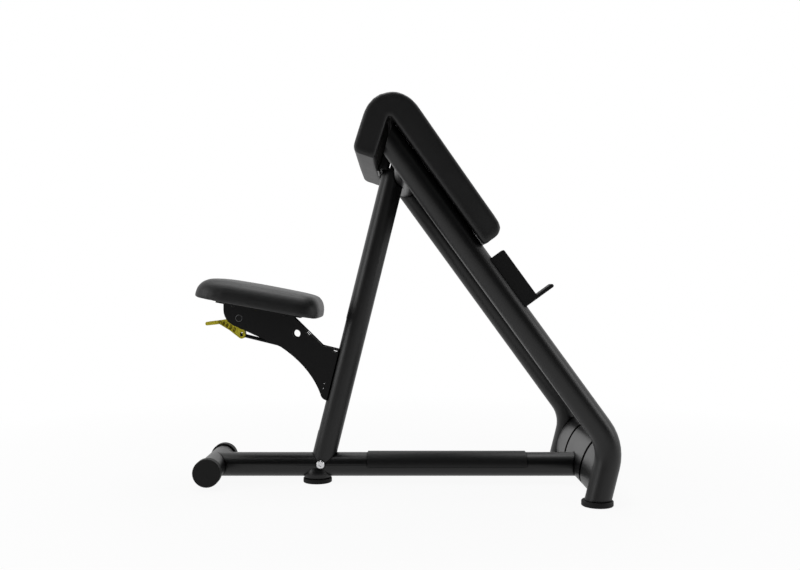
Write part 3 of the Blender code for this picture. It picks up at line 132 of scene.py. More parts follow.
# %% A board of nodes
class Board:
    """The nodes of one material or of the world."""

    def __init__(self, tree):
        self.tree = tree
        tree.nodes.clear()

    def node(self, kind, settings=None, values=None, out=0):
        made = self.tree.nodes.new(kind)
        for key, value in (settings or {}).items():
            setattr(made, key, value)
        for key, value in (values or {}).items():
            socket = made.inputs[key]
            if isinstance(value, Wire):
                self.tree.links.new(value.socket, socket)
            else:
                socket.default_value = value
        return Wire(self, made.outputs[out])

    def blend(self, share, first, second):
        """A colour between two colours."""
        settings = {"data_type": "RGBA"}
        values = {0: share, 6: first, 7: second}
        return self.node("ShaderNodeMix", settings, values, out=2)

    def close(self, kind, socket, value):
        made = self.tree.nodes.new(kind)
        self.tree.links.new(value.socket, made.inputs[socket])


# %% A finish is a material on a board
# Painted shade: corners and gaps between parts that see little open space are mixed towards this near-black, and
# the beam's seams join them as dark joint lines.
corner_open = 0.90    # a corner that sees less than this share of open space goes dark
corner_gain = 3.5     # how quickly it does
shade_and_joint_black = (0.0008, 0.0008, 0.0008, 1.0)


class Finish(Board):
    """A procedural material whose pattern follows Object coordinates."""

    def __init__(self, name, slot):
        self.material = bpy.data.materials.new(name)
        self.material.use_nodes = True
        self.slot = slot
        super().__init__(self.material.node_tree)
        self.place = self.node("ShaderNodeTexCoord", out="Object")

    def noise(self, size, detail=2.0, rough=0.5, stretch=None):
        """Noise from 0 to 1 whose blots are about size metres across."""
        where = self.place
        if stretch:
            where = self.node("ShaderNodeMapping", values={"Vector": where, "Scale": stretch})
        values = {"Vector": where, "Scale": 1.0 / size, "Detail": detail, "Roughness": rough}
        return self.node("ShaderNodeTexNoise", values=values)

    def grain(self, size):
        """Cells about size metres across, with raised middles."""
        settings = {"feature": "SMOOTH_F1"}
        return 1.0 - self.node(
            "ShaderNodeTexVoronoi", settings, {"Vector": self.place, "Scale": 1.0 / size}
        )

    def bump(self, height, depth, strength=1.0, after=None):
        values = {"Height": height, "Distance": depth, "Strength": strength}
        if after is not None:
            values["Normal"] = after
        return self.node("ShaderNodeBump", values=values)

    def shade(self, colour, roughness, normal=None, joint=0.0, seam=0.0, **constants):
        """Closes the finish. With joint, corners narrower than that get painted shade, and seams go dark."""
        values = {"Base Color": colour, "Roughness": roughness}
        if normal is not None:
            values["Normal"] = normal
        values.update({name.replace("_", " "): value for name, value in constants.items()})
        surface = self.node("ShaderNodeBsdfPrincipled", values=values)
        if joint:
            open_share = self.node(
                "ShaderNodeAmbientOcclusion", {"samples": 6}, {"Distance": joint}, out="AO"
            )
            corner = ((corner_open - open_share) * corner_gain).no_less_than(0.0)
            # painted shade in corners, plus the dark joint lines of the seams
            shade_and_joint_share = (corner + seam).no_more_than(1.0)
            shadow = self.node("ShaderNodeBsdfDiffuse", values={"Color": shade_and_joint_black})
            surface = self.node("ShaderNodeMixShader", values={0: shade_and_joint_share, 1: surface, 2: shadow})
        self.close("ShaderNodeOutputMaterial", "Surface", surface)
        return self


# %% [markdown]
# ## The floor, the backdrop and the light
# The picture is a black bench on white. A lit white floor alone turns grey towards the
# horizon, so the floor fades into plain white with distance, and what stays near the
# bench keeps its shadow. Black paint shows little but reflections: the surroundings are
# white to the sides and behind, and darker on the camera's side, which is what gives
# round tubes a dark core and pale edges.

# %% The floor
floor_radius = 14.0
floor_white = 0.93   # how white the floor shows near the bench
floor_glow = 0.60    # how white it is in the bench's reflections
fade_start = 0.7     # metres from the middle at which it starts to turn plain white
fade_rate = 0.8      # share a metre


def make_floor():
    """A round floor that holds the shadow near the bench and is plain white far from it."""
    bm = bmesh.new()
    bmesh.ops.create_circle(bm, cap_ends=True, segments=96, radius=floor_radius)
    mesh = bpy.data.meshes.new("studio_floor")
    bm.to_mesh(mesh)
    bm.free()
    floor = bpy.data.objects.new("studio_floor", mesh)
    bpy.context.scene.collection.objects.link(floor)
    paper = Finish("studio_paper", "")
    speckle = paper.noise(0.8, 1.0)
    lit = paper.node("ShaderNodeBsdfDiffuse", values={
        "Color": paper.blend(speckle, (0.90, 0.90, 0.90, 1.0), (0.93, 0.93, 0.93, 1.0)),
    })
    glow = paper.node(
        "ShaderNodeEmission", values={"Color": (1.0, 1.0, 1.0, 1.0), "Strength": 1.0}
    )
    far = paper.node(
        "ShaderNodeVectorMath", {"operation": "LENGTH"}, {0: paper.place}, out="Value"
    )
    fade = ((far - fade_start) * fade_rate).no_less_than(0.0).no_more_than(1.0)
    seen = paper.node("ShaderNodeLightPath", out="Is Camera Ray")
    mirrored = paper.node("ShaderNodeLightPath", out="Is Glossy Ray")
    share = seen * (floor_white + (1.0 - floor_white) * fade) + mirrored * floor_glow
    mixed = paper.node("ShaderNodeMixShader", values={0: share, 1: lit, 2: glow})
    paper.close("ShaderNodeOutputMaterial", "Surface", mixed)
    mesh.materials.append(paper.material)
    return floor


floor = make_floor()
print("floor", round(2 * floor_radius), "m across,", len(floor.data.vertices), "points")

# %% The white surroundings
def make_surroundings(even_light=0.14, camera_side=0.02, other_side=0.98):
    """White for the camera, and for reflections white beside and behind the bench."""
    turn, rise = 0.75, 1.1    # where along the depth the white starts, and how quickly
    world = bpy.data.worlds.new("white_studio")
    bpy.context.scene.world = world
    world.use_nodes = True
    board = Board(world.node_tree)
    way = board.node("ShaderNodeTexCoord", out="Generated")
    split = board.tree.nodes.new("ShaderNodeSeparateXYZ")
    board.tree.links.new(way.socket, split.inputs[0])
    depth = Wire(board, split.outputs[1])
    behind = ((depth + turn) * rise).no_less_than(0.0).no_more_than(1.0)
    mirrored = camera_side + (other_side - camera_side) * behind * behind
    rays = board.tree.nodes.new("ShaderNodeLightPath")
    camera_ray = Wire(board, rays.outputs["Is Camera Ray"])
    gloss_ray = Wire(board, rays.outputs["Is Glossy Ray"])
    glass_ray = Wire(board, rays.outputs["Is Transmission Ray"])
    plain = (camera_ray + glass_ray).no_more_than(1.0)
    strength = plain + (1.0 - plain) * (gloss_ray * mirrored + (1.0 - gloss_ray) * even_light)
    glow = board.node(
        "ShaderNodeBackground", values={"Color": (1.0, 1.0, 1.0, 1.0), "Strength": strength}
    )
    board.close("ShaderNodeOutputWorld", "Surface", glow)


make_surroundings()
print("surroundings", "white to the camera")

# %% Soft lamps
def soft_lamp(name, place, aim, width, height, watts):
    """A rectangular softbox at place, turned to aim."""
    data = bpy.data.lights.new(name, "AREA")
    data.shape = "RECTANGLE"
    data.size = width
    data.size_y = height
    data.energy = watts
    lamp = bpy.data.objects.new(name, data)
    lamp.location = place
    turn = (Vector(aim) - Vector(place)).to_track_quat("-Z", "Y")
    lamp.rotation_euler = turn.to_euler()
    bpy.context.scene.collection.objects.link(lamp)
    lamp.visible_camera = False
    return lamp


soft_lamp("overhead_softbox", place=(-0.2, 0.2, 2.6), aim=(0.0, 0.0, 0.4),
          width=2.4, height=1.6, watts=34)
soft_lamp("left_softbox", place=(-2.6, -1.3, 1.2), aim=(0.0, 0.0, 0.5),
          width=1.2, height=1.6, watts=20)
soft_lamp("right_softbox", place=(2.5, -0.8, 1.1), aim=(0.1, 0.0, 0.5),
          width=0.9, height=1.4, watts=12)

# %% [markdown]
# ## Finishes
# Almost everything on the bench is black, so what tells the pieces apart is how they
# take light. Powder coat is satin with a faint orange peel, cut plate is flatter, vinyl
# has a pressed leather grain, moulded rubber and plastic are dull and speckled. Each
# finish below has its own grain, at its own size, in its colour, roughness and bump.

# %% Powder coat on the tubes
def make_powder_coat(name="satin_black_powder_coat", seam_at=None, seam_half_width=0.009):
    """Satin black powder coat: a faint orange peel and slow changes of gloss. With seam_at,
    the joints that far to each side of the middle plane show as dark lines."""
    coat = Finish(name, "powder_coat")
    cloud = coat.noise(0.09, 3.0)
    peel = coat.noise(0.0016, 2.0, 0.55)
    speck = coat.noise(0.0004, 1.0)
    colour = coat.blend(cloud, (0.0016, 0.0016, 0.0018, 1.0), (0.0028, 0.0028, 0.0031, 1.0))
    roughness = 0.29 + 0.07 * cloud + 0.08 * speck
    seam = 0.0
    if seam_at is not None:
        side = coat.node(
            "ShaderNodeVectorMath", {"operation": "DOT_PRODUCT"},
            {0: coat.place, 1: (0.0, 1.0, 0.0)}, out="Value",
        )
        beside = (side * side - seam_at * seam_at) * (0.5 / (seam_at * seam_half_width))
        seam = (1.6 - beside * beside).no_less_than(0.0).no_more_than(1.0)
    # joint=0.007 paints shade into corners and between parts narrower than 7 mm.
    return coat.shade(colour, roughness, coat.bump(peel + 0.3 * speck, 0.00012, 0.55),
                      joint=0.007, seam=seam, Specular_IOR_Level=0.46)


powder_coat = make_powder_coat()
beam_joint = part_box("front_beam_centre")[1][1]
beam_coat = make_powder_coat("seamed_black_powder_coat", seam_at=beam_joint)
print("beam joints", round(beam_joint * 1000, 1), "mm to each side of the middle")

# %% Flat black on cut plate
def make_plate_coat():
    """Matt black over laser-cut plate, with the faint lines of rolled sheet."""
    coat = Finish("matt_black_plate", "plate_coat")
    cloud = coat.noise(0.05, 3.0)
    rolled = coat.noise(0.004, 2.0, 0.5, stretch=(0.12, 1.0, 1.0))
    grit = coat.noise(0.0007, 2.0)
    colour = coat.blend(cloud, (0.0026, 0.0026, 0.0028, 1.0), (0.0036, 0.0036, 0.0038, 1.0))
    roughness = 0.50 + 0.08 * cloud + 0.10 * grit
    surface = coat.bump(0.4 * rolled + grit, 0.00012, 0.5)
    return coat.shade(colour, roughness, surface, Specular_IOR_Level=0.24)


plate_coat = make_plate_coat()


def make_ringed_plate_coat(node, ring_width=0.0016, sharpness=2500.0):
    """The same black on a turned pin, with a painted highlight: a thin grey ring at the rim."""
    low, high = (Vector(corner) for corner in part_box(node))
    middle = (low + high) / 2
    rim = (high.x - low.x) / 2
    coat = Finish("matt_black_pin_painted_highlight", "plate_coat")
    grit = coat.noise(0.0007, 2.0)
    away = coat.node("ShaderNodeVectorMath", {"operation": "SUBTRACT"}, {0: coat.place, 1: middle})
    flat = coat.node(
        "ShaderNodeVectorMath", {"operation": "MULTIPLY"}, {0: away, 1: (1.0, 0.0, 1.0)}
    )
    out = coat.node("ShaderNodeVectorMath", {"operation": "LENGTH"}, {0: flat}, out="Value")
    ring = ((out - (rim - ring_width)) * sharpness).no_less_than(0.0).no_more_than(1.0)
    # Painted highlight: a thin grey ring at the pin's rim stands in for light on its chamfer.
    painted_rim_highlight = ring * (0.55 + 0.45 * grit)
    colour = coat.blend(painted_rim_highlight, (0.0034, 0.0034, 0.0036, 1.0), (0.30, 0.30, 0.31, 1.0))
    return coat.shade(
        colour, 0.50 + 0.10 * grit, coat.bump(grit, 0.00012, 0.5), Specular_IOR_Level=0.24
    )


ringed_plate_coat = make_ringed_plate_coat("lever_pin")
print("plate coats", plate_coat.material.name, ringed_plate_coat.material.name)

# %% Upholstery vinyl
def make_vinyl():
    """Black upholstery vinyl: a pressed grain over soft creasing."""
    vinyl = Finish("black_vinyl", "vinyl")
    grain = vinyl.grain(0.0016)
    pores = vinyl.noise(0.0007, 2.0)
    soft = vinyl.noise(0.06, 3.0)
    colour = vinyl.blend(soft, (0.0052, 0.0052, 0.0055, 1.0), (0.0074, 0.0074, 0.0077, 1.0))
    roughness = 0.40 + 0.08 * soft + 0.10 * (1.0 - grain)
    low = vinyl.bump(soft, 0.0012, 0.25)
    fine = vinyl.bump(grain + 0.35 * pores, 0.00022, 0.55, after=low)
    return vinyl.shade(colour, roughness, fine, Specular_IOR_Level=0.45)


vinyl = make_vinyl()
print("vinyl", len(vinyl.tree.nodes), "nodes")

# %% Rubber and black plastics
def make_rubber():
    """Moulded rubber: dull, speckled and slightly grey where it has been handled."""
    rubber = Finish("black_rubber", "rubber")
    cloud = rubber.noise(0.03, 3.0)
    grit = rubber.noise(0.0011, 3.0, 0.6)
    colour = rubber.blend(cloud, (0.0022, 0.0022, 0.0022, 1.0), (0.0040, 0.0039, 0.0038, 1.0))
    roughness = 0.55 + 0.12 * grit
    surface = rubber.bump(grit, 0.00018, 0.6)
    return rubber.shade(colour, roughness, surface, Specular_IOR_Level=0.28)


def make_tread_plastic():
    """The sleeve's plastic: a fine spark-eroded grain with lengthwise flow lines."""
    tread = Finish("black_tread_plastic", "tread_plastic")
    flow = tread.noise(0.012, 2.0, 0.5, stretch=(0.06, 1.0, 1.0))
    grit = tread.noise(0.0006, 2.0)
    colour = tread.blend(flow, (0.0020, 0.0020, 0.0022, 1.0), (0.0036, 0.0036, 0.0038, 1.0))
    roughness = 0.40 + 0.08 * flow + 0.08 * grit
    surface = tread.bump(grit, 0.00012, 0.5)
    return tread.shade(colour, roughness, surface, Specular_IOR_Level=0.40)


rubber = make_rubber()
tread_plastic = make_tread_plastic()
print("rubber", len(rubber.tree.nodes), "nodes, tread plastic", len(tread_plastic.tree.nodes))

# %% Yellow moulding and nylon
def make_yellow():
    """The lever's yellow plastic: a soft gloss, warmer in the thick parts."""
    yellow = Finish("yellow_moulding", "yellow_plastic")
    cloud = yellow.noise(0.02, 2.0)
    grit = yellow.noise(0.0008, 2.0)
    colour = yellow.blend(cloud, (0.54, 0.47, 0.010, 1.0), (0.66, 0.58, 0.014, 1.0))
    roughness = 0.38 + 0.10 * grit
    return yellow.shade(colour, roughness, yellow.bump(grit, 0.00012, 0.4))


def make_nylon():
    """Natural nylon: off-white, waxy, with faint machining rings."""
    nylon = Finish("natural_nylon", "nylon")
    cloud = nylon.noise(0.02, 2.0)
    rings = nylon.noise(0.002, 1.0, 0.5, stretch=(1.0, 0.2, 1.0))
    colour = nylon.blend(cloud, (0.66, 0.64, 0.57, 1.0), (0.74, 0.72, 0.66, 1.0))
    return nylon.shade(colour, 0.42 + 0.10 * rings, nylon.bump(rings, 0.0001, 0.4))


yellow_plastic = make_yellow()
nylon = make_nylon()
print("yellow moulding", len(yellow_plastic.tree.nodes), "nodes, nylon", len(nylon.tree.nodes))

# %% Black-stained board
def make_board():
    """The pads' plywood, stained black: long grain with open pores."""
    board = Finish("black_stained_board", "plywood")
    grain = board.noise(0.008, 4.0, 0.6, stretch=(1.0, 0.05, 1.0))
    pores = board.noise(0.0012, 2.0, 0.5, stretch=(1.0, 0.08, 1.0))
    colour = board.blend(grain, (0.004, 0.0037, 0.0034, 1.0), (0.013, 0.012, 0.011, 1.0))
    return board.shade(
        colour, 0.62 + 0.15 * pores, board.bump(pores, 0.0002, 0.6), Specular_IOR_Level=0.3
    )


stained_board = make_board()
print("stained board", len(stained_board.tree.nodes), "nodes")

# %% Bright and dark steel
def make_steel(name, slot, dark, light, roughness):
    """Plated steel with turning marks round it and small dents."""
    steel = Finish(name, slot)
    marks = steel.noise(0.0011, 3.0, 0.6, stretch=(1.0, 0.25, 1.0))
    cloud = steel.noise(0.006, 2.0)
    colour = steel.blend(cloud, (*dark, 1.0), (*light, 1.0))
    return steel.shade(
        colour, roughness + 0.12 * marks, steel.bump(marks, 0.00008, 0.5), Metallic=1.0
    )


bright_steel = make_steel(
    "bright_steel", "bright_steel", (0.62, 0.62, 0.63), (0.82, 0.82, 0.83), roughness=0.16
)
dark_steel = make_steel(
    "blackened_steel", "dark_steel", (0.010, 0.010, 0.0105), (0.020, 0.020, 0.0205), roughness=0.42
)
finishes = {
    finish.slot: finish for finish in (
        powder_coat, plate_coat, vinyl, rubber, tread_plastic, yellow_plastic, nylon,
        stained_board, bright_steel, dark_steel,
    )
}
print("finishes", ", ".join(finishes))

# %% [markdown]
# ## Easing the rigid pieces
# A solid's edges are perfectly sharp, and no real edge is: cut plate is tumbled, tube
# ends are ground, mouldings have radii, and paint rounds everything a little more. The
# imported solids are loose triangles, so each one is copied and merged, its flat faces are
# made whole, and a Bevel modifier eases what is left. The easing also opens each joint
# into the dark line that the photograph shows.
# Each copy is named for what was done to it, says which node it stands for, and rides on
# the body that carries that node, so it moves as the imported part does.

# %% Helpers for pieces
node_slots = {row["node"]: row["material_slot"] for row in frame["record"]["subparts"]}


def body_carrying(node):
    """The body that a node of the frame moves with."""
    for body, nodes in bodies.items():
        if node in nodes:
            return body
    return "frame"


def merged(node):
    """A node's solid as a bmesh with shared corners and whole flat faces."""
    bm = bmesh.new()
    bm.from_mesh(frame["nodes"][node].data)
    bmesh.ops.remove_doubles(bm, verts=bm.verts, dist=2e-5)
    bmesh.ops.dissolve_limit(
        bm, angle_limit=math.radians(0.4), verts=bm.verts, edges=bm.edges
    )
    return bm


def add_piece(name, bm, node, finish, crease=38):
    """Makes a piece of a bmesh. It stands for a node, and moves with that node's body."""
    mesh = bpy.data.meshes.new(name)
    bm.to_mesh(mesh)
    bm.free()
    mesh.materials.append(finish.material)
    mesh.shade_smooth()
    mesh.set_sharp_from_angle(angle=math.radians(crease))
    piece = bpy.data.objects.new(name, mesh)
    bpy.context.scene.collection.objects.link(piece)
    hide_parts(node)
    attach(piece, body_carrying(node))
    return piece


def ease_edges(piece, width, rings=2, crease=38):
    """Rounds a piece's sharp edges."""
    bevel = piece.modifiers.new("eased_edges", "BEVEL")
    bevel.width = width
    bevel.segments = rings
    bevel.limit_method = "ANGLE"
    bevel.angle_limit = math.radians(crease)
    bevel.harden_normals = True
    bevel.use_clamp_overlap = True
    return piece


# %% Ease every rigid piece
screw_easing = 0.0005
easing = {
    "rear_crossbar": 0.0012, "base_tube": 0.0020, "tread_sleeve": 0.0009, "post_bolt": 0.0007,
    "post_bolt_cap_nut": 0.0007, "middle_foot_pad": 0.0010,
    "leg_left": 0.0010, "leg_right": 0.0010, "leg_foot_left": 0.0010, "leg_foot_right": 0.0010,
    "front_beam_centre": 0.0006, "front_beam_end_left": 0.0006, "front_beam_end_right": 0.0006,
    "top_crossbar": 0.0018, "barbell_rest_left": 0.0016, "barbell_rest_right": 0.0016,
    "post_tube": 0.0020, "arm_pad_board": 0.0010, "chest_pad_board": 0.0010,
    "pad_rail_left": 0.0015, "pad_rail_right": 0.0015, "chest_pad_bracket": 0.0008,
    "seat_plate": 0.0008, "seat_board": 0.0010, "carriage_plate_left": 0.0007,
    "carriage_plate_right": 0.0007, "carriage_block": 0.0010, "lever_pin": 0.0012,
    "locking_pin": 0.0006, "spring_retainer": 0.0004, "pull_rod": 0.0005, "rod_cross_pin": 0.0005,
    "lever_bush_left": 0.0004, "lever_bush_right": 0.0004, "rear_cap_left": 0.0012,
    "rear_cap_right": 0.0012,
}
for node in frame["nodes"]:
    if "_screw_" in node:
        easing[node] = screw_easing
own_finishes = {
    "lever_pin": ringed_plate_coat, "front_beam_centre": beam_coat,
    "front_beam_end_left": beam_coat, "front_beam_end_right": beam_coat,
}
for node, width in easing.items():
    finish = own_finishes.get(node, finishes[node_slots[node]])
    piece = add_piece(node + "_finished", merged(node), node, finish)
    ease_edges(piece, width)
print("eased pieces", len(easing))

# %% [markdown]
# ## The middle foot's collar
# Under the post, a turned collar grips the base tube from below and carries the rubber
# foot. It is a body of revolution, so its outline is spun about the foot's middle. The
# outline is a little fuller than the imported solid's: its cheeks reach up beside the tube.

# %% The middle foot's collar
def make_foot_collar(flare=0.0022, rim=0.007, top=0.0412):
    """The collar, whose two cheeks reach up the base tube's sides to below the bolt."""
    low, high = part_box("middle_foot_collar")
    middle = (low[0] + high[0]) / 2
    foot = (high[0] - low[0]) / 2
    profile = (
        (0.0, low[2]), (foot, low[2]), (foot + flare, low[2] + rim), (foot + flare, 0.0260),
        (foot + 0.0012, 0.0310), (foot - 0.0006, 0.0365), (foot - flare, top), (0.0, top),
    )
    bm = bmesh.new()
    corners = [bm.verts.new((middle + out, 0.0, up)) for out, up in profile]
    for first, second in zip(corners[:-1], corners[1:]):
        bm.edges.new((first, second))
    bmesh.ops.spin(
        bm, geom=bm.verts[:] + bm.edges[:], cent=(middle, 0.0, 0.0), axis=(0.0, 0.0, 1.0),
        angle=math.tau, steps=64, use_merge=True,
    )
    bmesh.ops.remove_doubles(bm, verts=bm.verts, dist=1e-6)
    bmesh.ops.recalc_face_normals(bm, faces=bm.faces)
    collar = add_piece("middle_foot_collar_finished", bm, "middle_foot_collar", powder_coat, 30)
    return ease_edges(collar, 0.0012, crease=30)


foot_collar = make_foot_collar()
print("collar faces", len(foot_collar.data.polygons))

# %% [markdown]
# ## The lock spring
# The lock spring is held between the pin's collar and the disc behind it. Its coil is
# copied like the rest.

# %% The lock spring
def make_lock_spring():
    """The coil, copied onto the pin's body with a mesh of its own. Returns its length."""
    draw = next(joint for joint in frame["joints"] if joint["name"] == "locking_pin")
    way = Vector(draw["axis"])
    finish = finishes[node_slots["lock_spring"]]
    spring = add_piece("lock_spring_finished", merged("lock_spring"), "lock_spring", finish)
    along = [corner.co.dot(way) for corner in spring.data.vertices]
    length = max(along) - min(along)
    1.0 - max(draw["range_m"]) / length
    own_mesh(spring)
    return length


print("lock spring", round(make_lock_spring() * 1000, 1), "mm long at rest")

# %% [markdown]
# ## Hidden pieces
# The shoe, the index bar and the beam's spigots lie inside tubes and never show, so their
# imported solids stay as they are. Every solid gets its finish here, also the pads and the
# lever, whose copies come below.

# %% Pieces inside others keep their solids
for node, solid in frame["nodes"].items():
    for place in solid.material_slots:
        place.material = finishes[node_slots[node]].material
print("nodes without a copy so far", len(frame["nodes"]) - len(easing) - 2)

# %% [markdown]
# ## Upholstery
# A pad is foam under stretched vinyl: its faces swell a little between their edges, and
# its underside is held flat by the board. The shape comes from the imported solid, voxel
# remeshed so that its faces are even, and smoothed without shrinking, which melts the
# solid's flat facets into round corners. Cloth with a small pressure then says where the
# vinyl would swell. Only the outward part of that is used, up to a cap, so that creases
# of the simulation don't show and the pad keeps its outline.

# %% Even meshes and smoothing
def surface_of(piece):
    """A piece's mesh as its modifiers leave it, as a new mesh."""
    graph = bpy.context.evaluated_depsgraph_get()
    return bpy.data.meshes.new_from_object(piece.evaluated_get(graph))


def points_of(mesh, what="co"):
    values = np.empty(len(mesh.vertices) * 3)
    mesh.vertices.foreach_get(what, values)
    return values.reshape(-1, 3)


def neighbours_of(mesh):
    """Both ends of every edge, each way round."""
    ends = np.empty(len(mesh.edges) * 2, dtype=np.int64)
    mesh.edges.foreach_get("vertices", ends)
    ends = ends.reshape(-1, 2)
    return np.concatenate((ends, ends[:, ::-1]))


def averaged(values, pairs):
    """The mean of each point's neighbours."""
    total = np.zeros_like(values)
    np.add.at(total, pairs[:, 0], values[pairs[:, 1]])
    count = np.bincount(pairs[:, 0], minlength=len(values)).astype(float)
    return total / (count if values.ndim == 1 else count[:, None])


def rounded_off(points, pairs, rounds, inwards=0.5, outwards=0.53):
    """Points smoothed by steps in and out again, so that the shape doesn't shrink."""
    for step in range(rounds):
        points = points + inwards * (averaged(points, pairs) - points)
        points = points - outwards * (averaged(points, pairs) - points)
    return points


# %% Swell by cloth
cloth_pressure = 4.0
cloth_frames = 20


def swelling_of(pad, start, outward, hold):
    """How far each point of a pad moves outwards under a small pressure."""
    group = pad.vertex_groups.new(name="held_by_board")
    for index in np.nonzero(hold > 0.5)[0]:
        group.add([int(index)], 1.0, "REPLACE")
    cloth = pad.modifiers.new("swelling", "CLOTH")
    cloth.settings.use_pressure = True
    cloth.settings.uniform_pressure_force = cloth_pressure
    cloth.settings.quality = 5
    cloth.settings.effector_weights.gravity = 0.0
    cloth.settings.vertex_group_mass = group.name
    cloth.point_cache.frame_end = cloth_frames
    for step in range(1, cloth_frames + 1):
        bpy.context.scene.frame_set(step)
    moved = points_of(surface_of(pad)) - start
    bpy.context.scene.frame_set(1)
    pad.modifiers.clear()
    return np.clip((moved * outward).sum(axis=1), 0.0, None)


smoothing_rounds = 12    # for the shape
spreading_rounds = 14    # for the swelling, so that no crease of the cloth is left


def blown_up(name, node, voxel, cap, held, inset):
    """A pad's even mesh, swollen by at most cap where held(points) is 0."""
    mesh = bpy.data.meshes.new(name)
    bm = merged(node)
    bm.to_mesh(mesh)
    bm.free()
    pad = bpy.data.objects.new(name + "_working", mesh)
    bpy.context.scene.collection.objects.link(pad)
    remesh = pad.modifiers.new("even_faces", "REMESH")
    remesh.mode = "VOXEL"
    remesh.voxel_size = voxel
    even = surface_of(pad)
    pad.modifiers.clear()
    pad.data = even
    pairs = neighbours_of(even)
    start = rounded_off(points_of(even), pairs, smoothing_rounds)
    even.vertices.foreach_set("co", start.ravel())
    even.update()
    outward = points_of(even, "normal")
    hold = np.clip(held(start), 0.0, 1.0)
    swell = np.zeros(len(start))
    swell = swelling_of(pad, start, outward, hold)
    largest = float(swell.max())
    swell = cap * (1.0 - np.exp(-swell / cap))
    for step in range(spreading_rounds):
        swell = averaged(swell, pairs)
    final = start + outward * ((swell - inset) * (1.0 - hold))[:, None]
    even.vertices.foreach_set("co", final.ravel())
    even.update()
    finer = pad.modifiers.new("finer_faces", "SUBSURF")
    finer.levels = 1
    finer.render_levels = 1
    bm = bmesh.new()
    bm.from_mesh(surface_of(pad))
    bpy.data.objects.remove(pad)
    print(name, len(start), "points, largest swell", round(largest * 1000, 1), "mm uncapped")
    return bm


# %% [markdown]
# ## The seat cushion
# The seat is a boxed cushion: a top panel meets a side band in one seam just below the
# crown, all the way round, and the band turns under at the board. The seam is pressed in
# as a narrow groove after the swelling, because the remesh would lose it.

# %% Seat directions
seat_tilt = math.radians(10.4)
seat_up = np.array((math.sin(seat_tilt), 0.0, math.cos(seat_tilt)))
seat_points = points_of(frame["nodes"]["seat_cushion"].data)
seat_bottom = float((seat_points @ seat_up).min())
seat_rise = float((seat_points @ seat_up).max()) - seat_bottom
print("seat thickness", round(seat_rise * 1000, 1), "mm")

# %% Where the seat is held, and its seam
seat_flat = 0.004          # the board holds the vinyl up to here
seat_fade = 0.012          # and less and less over this
seam_below_top = 0.0105
seam_half_width = 0.0028
seam_depth = 0.0006


def seat_held(points):
    """1 on the underside, fading to 0 over the lower band."""
    return 1.0 - (points @ seat_up - seat_bottom - seat_flat) / seat_fade


def press_seam(bm, up, level, half_width, depth):
    """Presses a narrow groove into a mesh where it stands at a level along up."""
    bm.normal_update()
    for vert in bm.verts:
        away = abs(float(np.dot(vert.co, up)) - level) / half_width
        if away < 1.0:
            upright = max(0.0, 1.0 - float(np.dot(vert.normal, up)) ** 2)
            vert.co -= vert.normal * (depth * upright * (1.0 - away * away) ** 2)


# %% Make the seat cushion
seat_mesh = blown_up(
    "seat_cushion", "seat_cushion", voxel=0.0040, cap=0.0025, held=seat_held, inset=0.0006
)
seam_level = seat_bottom + seat_rise - seam_below_top
press_seam(seat_mesh, seat_up, seam_level, seam_half_width, seam_depth)
seat_cushion = add_piece("seat_cushion_upholstered", seat_mesh, "seat_cushion", vinyl, 80)
print("seat cushion faces", len(seat_cushion.data.polygons))

# %% [markdown]
# ## The arm and chest pad
# One pad is folded over the ridge: a short chest side, a long arm side and a rounded
# peak between them. The inside of the fold is held by the two boards.

# %% Arm pad directions
leg_run_to_rise = 0.7276
leg_slope = math.atan(leg_run_to_rise)
arm_out = np.array((math.cos(leg_slope), 0.0, math.sin(leg_slope)))
chest_slope = math.radians(72.15)
chest_out = np.array((-math.sin(chest_slope), 0.0, math.cos(chest_slope)))
board_points = points_of(frame["nodes"]["arm_pad_board"].data)
chest_points = points_of(frame["nodes"]["chest_pad_board"].data)
arm_under = float((board_points @ arm_out).min())
chest_under = float((chest_points @ chest_out).min())
print("leg slope", round(math.degrees(leg_slope), 2), "degrees from the upright")

# %% Where the arm pad is held
pad_flat = 0.012           # the boards hold the vinyl this far from their faces
pad_fade = 0.006           # and less and less over this
pad_free = 0.016           # from here on it is free


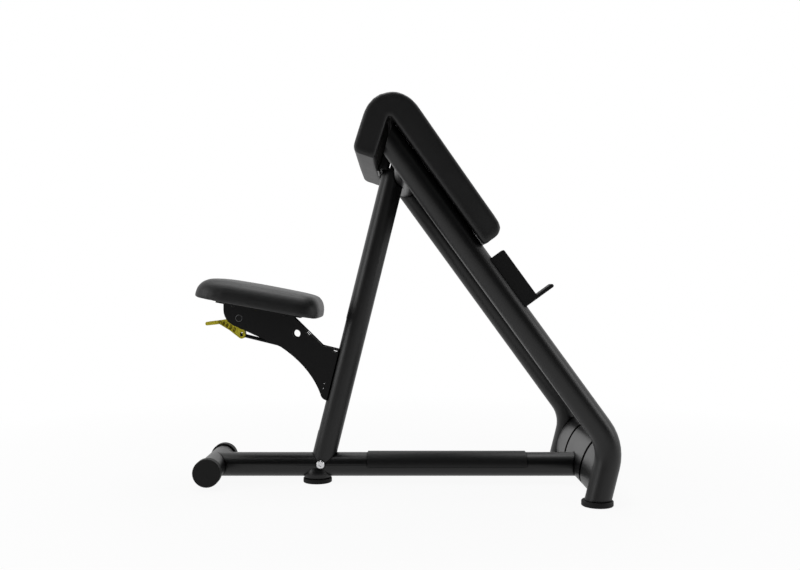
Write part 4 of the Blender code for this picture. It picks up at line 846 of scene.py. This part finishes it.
def pad_held(points):
    """1 on the pad's inner faces and on its pockets, fading outwards."""
    over_arm = points @ arm_out - arm_under
    over_chest = points @ chest_out - chest_under
    inward = np.minimum(np.abs(over_arm), np.abs(over_chest))
    return np.where(inward < pad_free, 1.0 - (inward - pad_flat) / pad_fade, 0.0)


# %% Make the arm pad
pad_mesh = blown_up(
    "arm_pad", "arm_pad", voxel=0.0050, cap=0.0030, held=pad_held, inset=0.0006
)
arm_pad = add_piece("arm_pad_upholstered", pad_mesh, "arm_pad", vinyl, 80)
print("arm pad faces", len(arm_pad.data.polygons))

# %% [markdown]
# ## Rivets
# Two small bright dots show low on the near side plate. They are the domes of rivets, and
# are placed through the camera from their pixels onto the plate's outer face. The far
# plate gets the same two.

# %% Rivets at the side plates' lower tips
rivet_pixels = ((324.4, 383.4), (323.4, 388.4))    # across and down in the photograph
rivet_radius = 0.0017


def add_rivets():
    """Small bright domes on both side plates. Returns how many."""
    low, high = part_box("carriage_plate_right")[0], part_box("carriage_plate_left")[1]
    metres_a_pixel = (camera_distance + low[1]) / focal_pixels
    for count, (across, down) in enumerate(rivet_pixels):
        x = (across - picture_width / 2) * metres_a_pixel
        z = camera_height - (down - picture_height / 2) * metres_a_pixel
        for side, y in (("right", low[1]), ("left", high[1])):
            bm = bmesh.new()
            bmesh.ops.create_uvsphere(bm, u_segments=16, v_segments=10, radius=rivet_radius)
            bmesh.ops.translate(bm, vec=(x, y, z), verts=bm.verts)
            mesh = bpy.data.meshes.new(f"plate_rivet_{side}_{count + 1}")
            bm.to_mesh(mesh)
            bm.free()
            mesh.materials.append(bright_steel.material)
            mesh.shade_smooth()
            rivet = bpy.data.objects.new(mesh.name, mesh)
            bpy.context.scene.collection.objects.link(rivet)
            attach(rivet, body_carrying("carriage_plate_right"))
    return 2 * len(rivet_pixels)


print("rivets", add_rivets())

# %% [markdown]
# ## The release lever
# The yellow lever is one moulding with pockets between its ribs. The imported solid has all
# of them, so its copy only needs the small radius that a mould gives every edge.

# %% The release lever
lever = add_piece(
    "release_lever_moulded", merged("release_lever"), "release_lever", yellow_plastic
)
ease_edges(lever, 0.0004)
print("lever faces", len(lever.data.polygons))
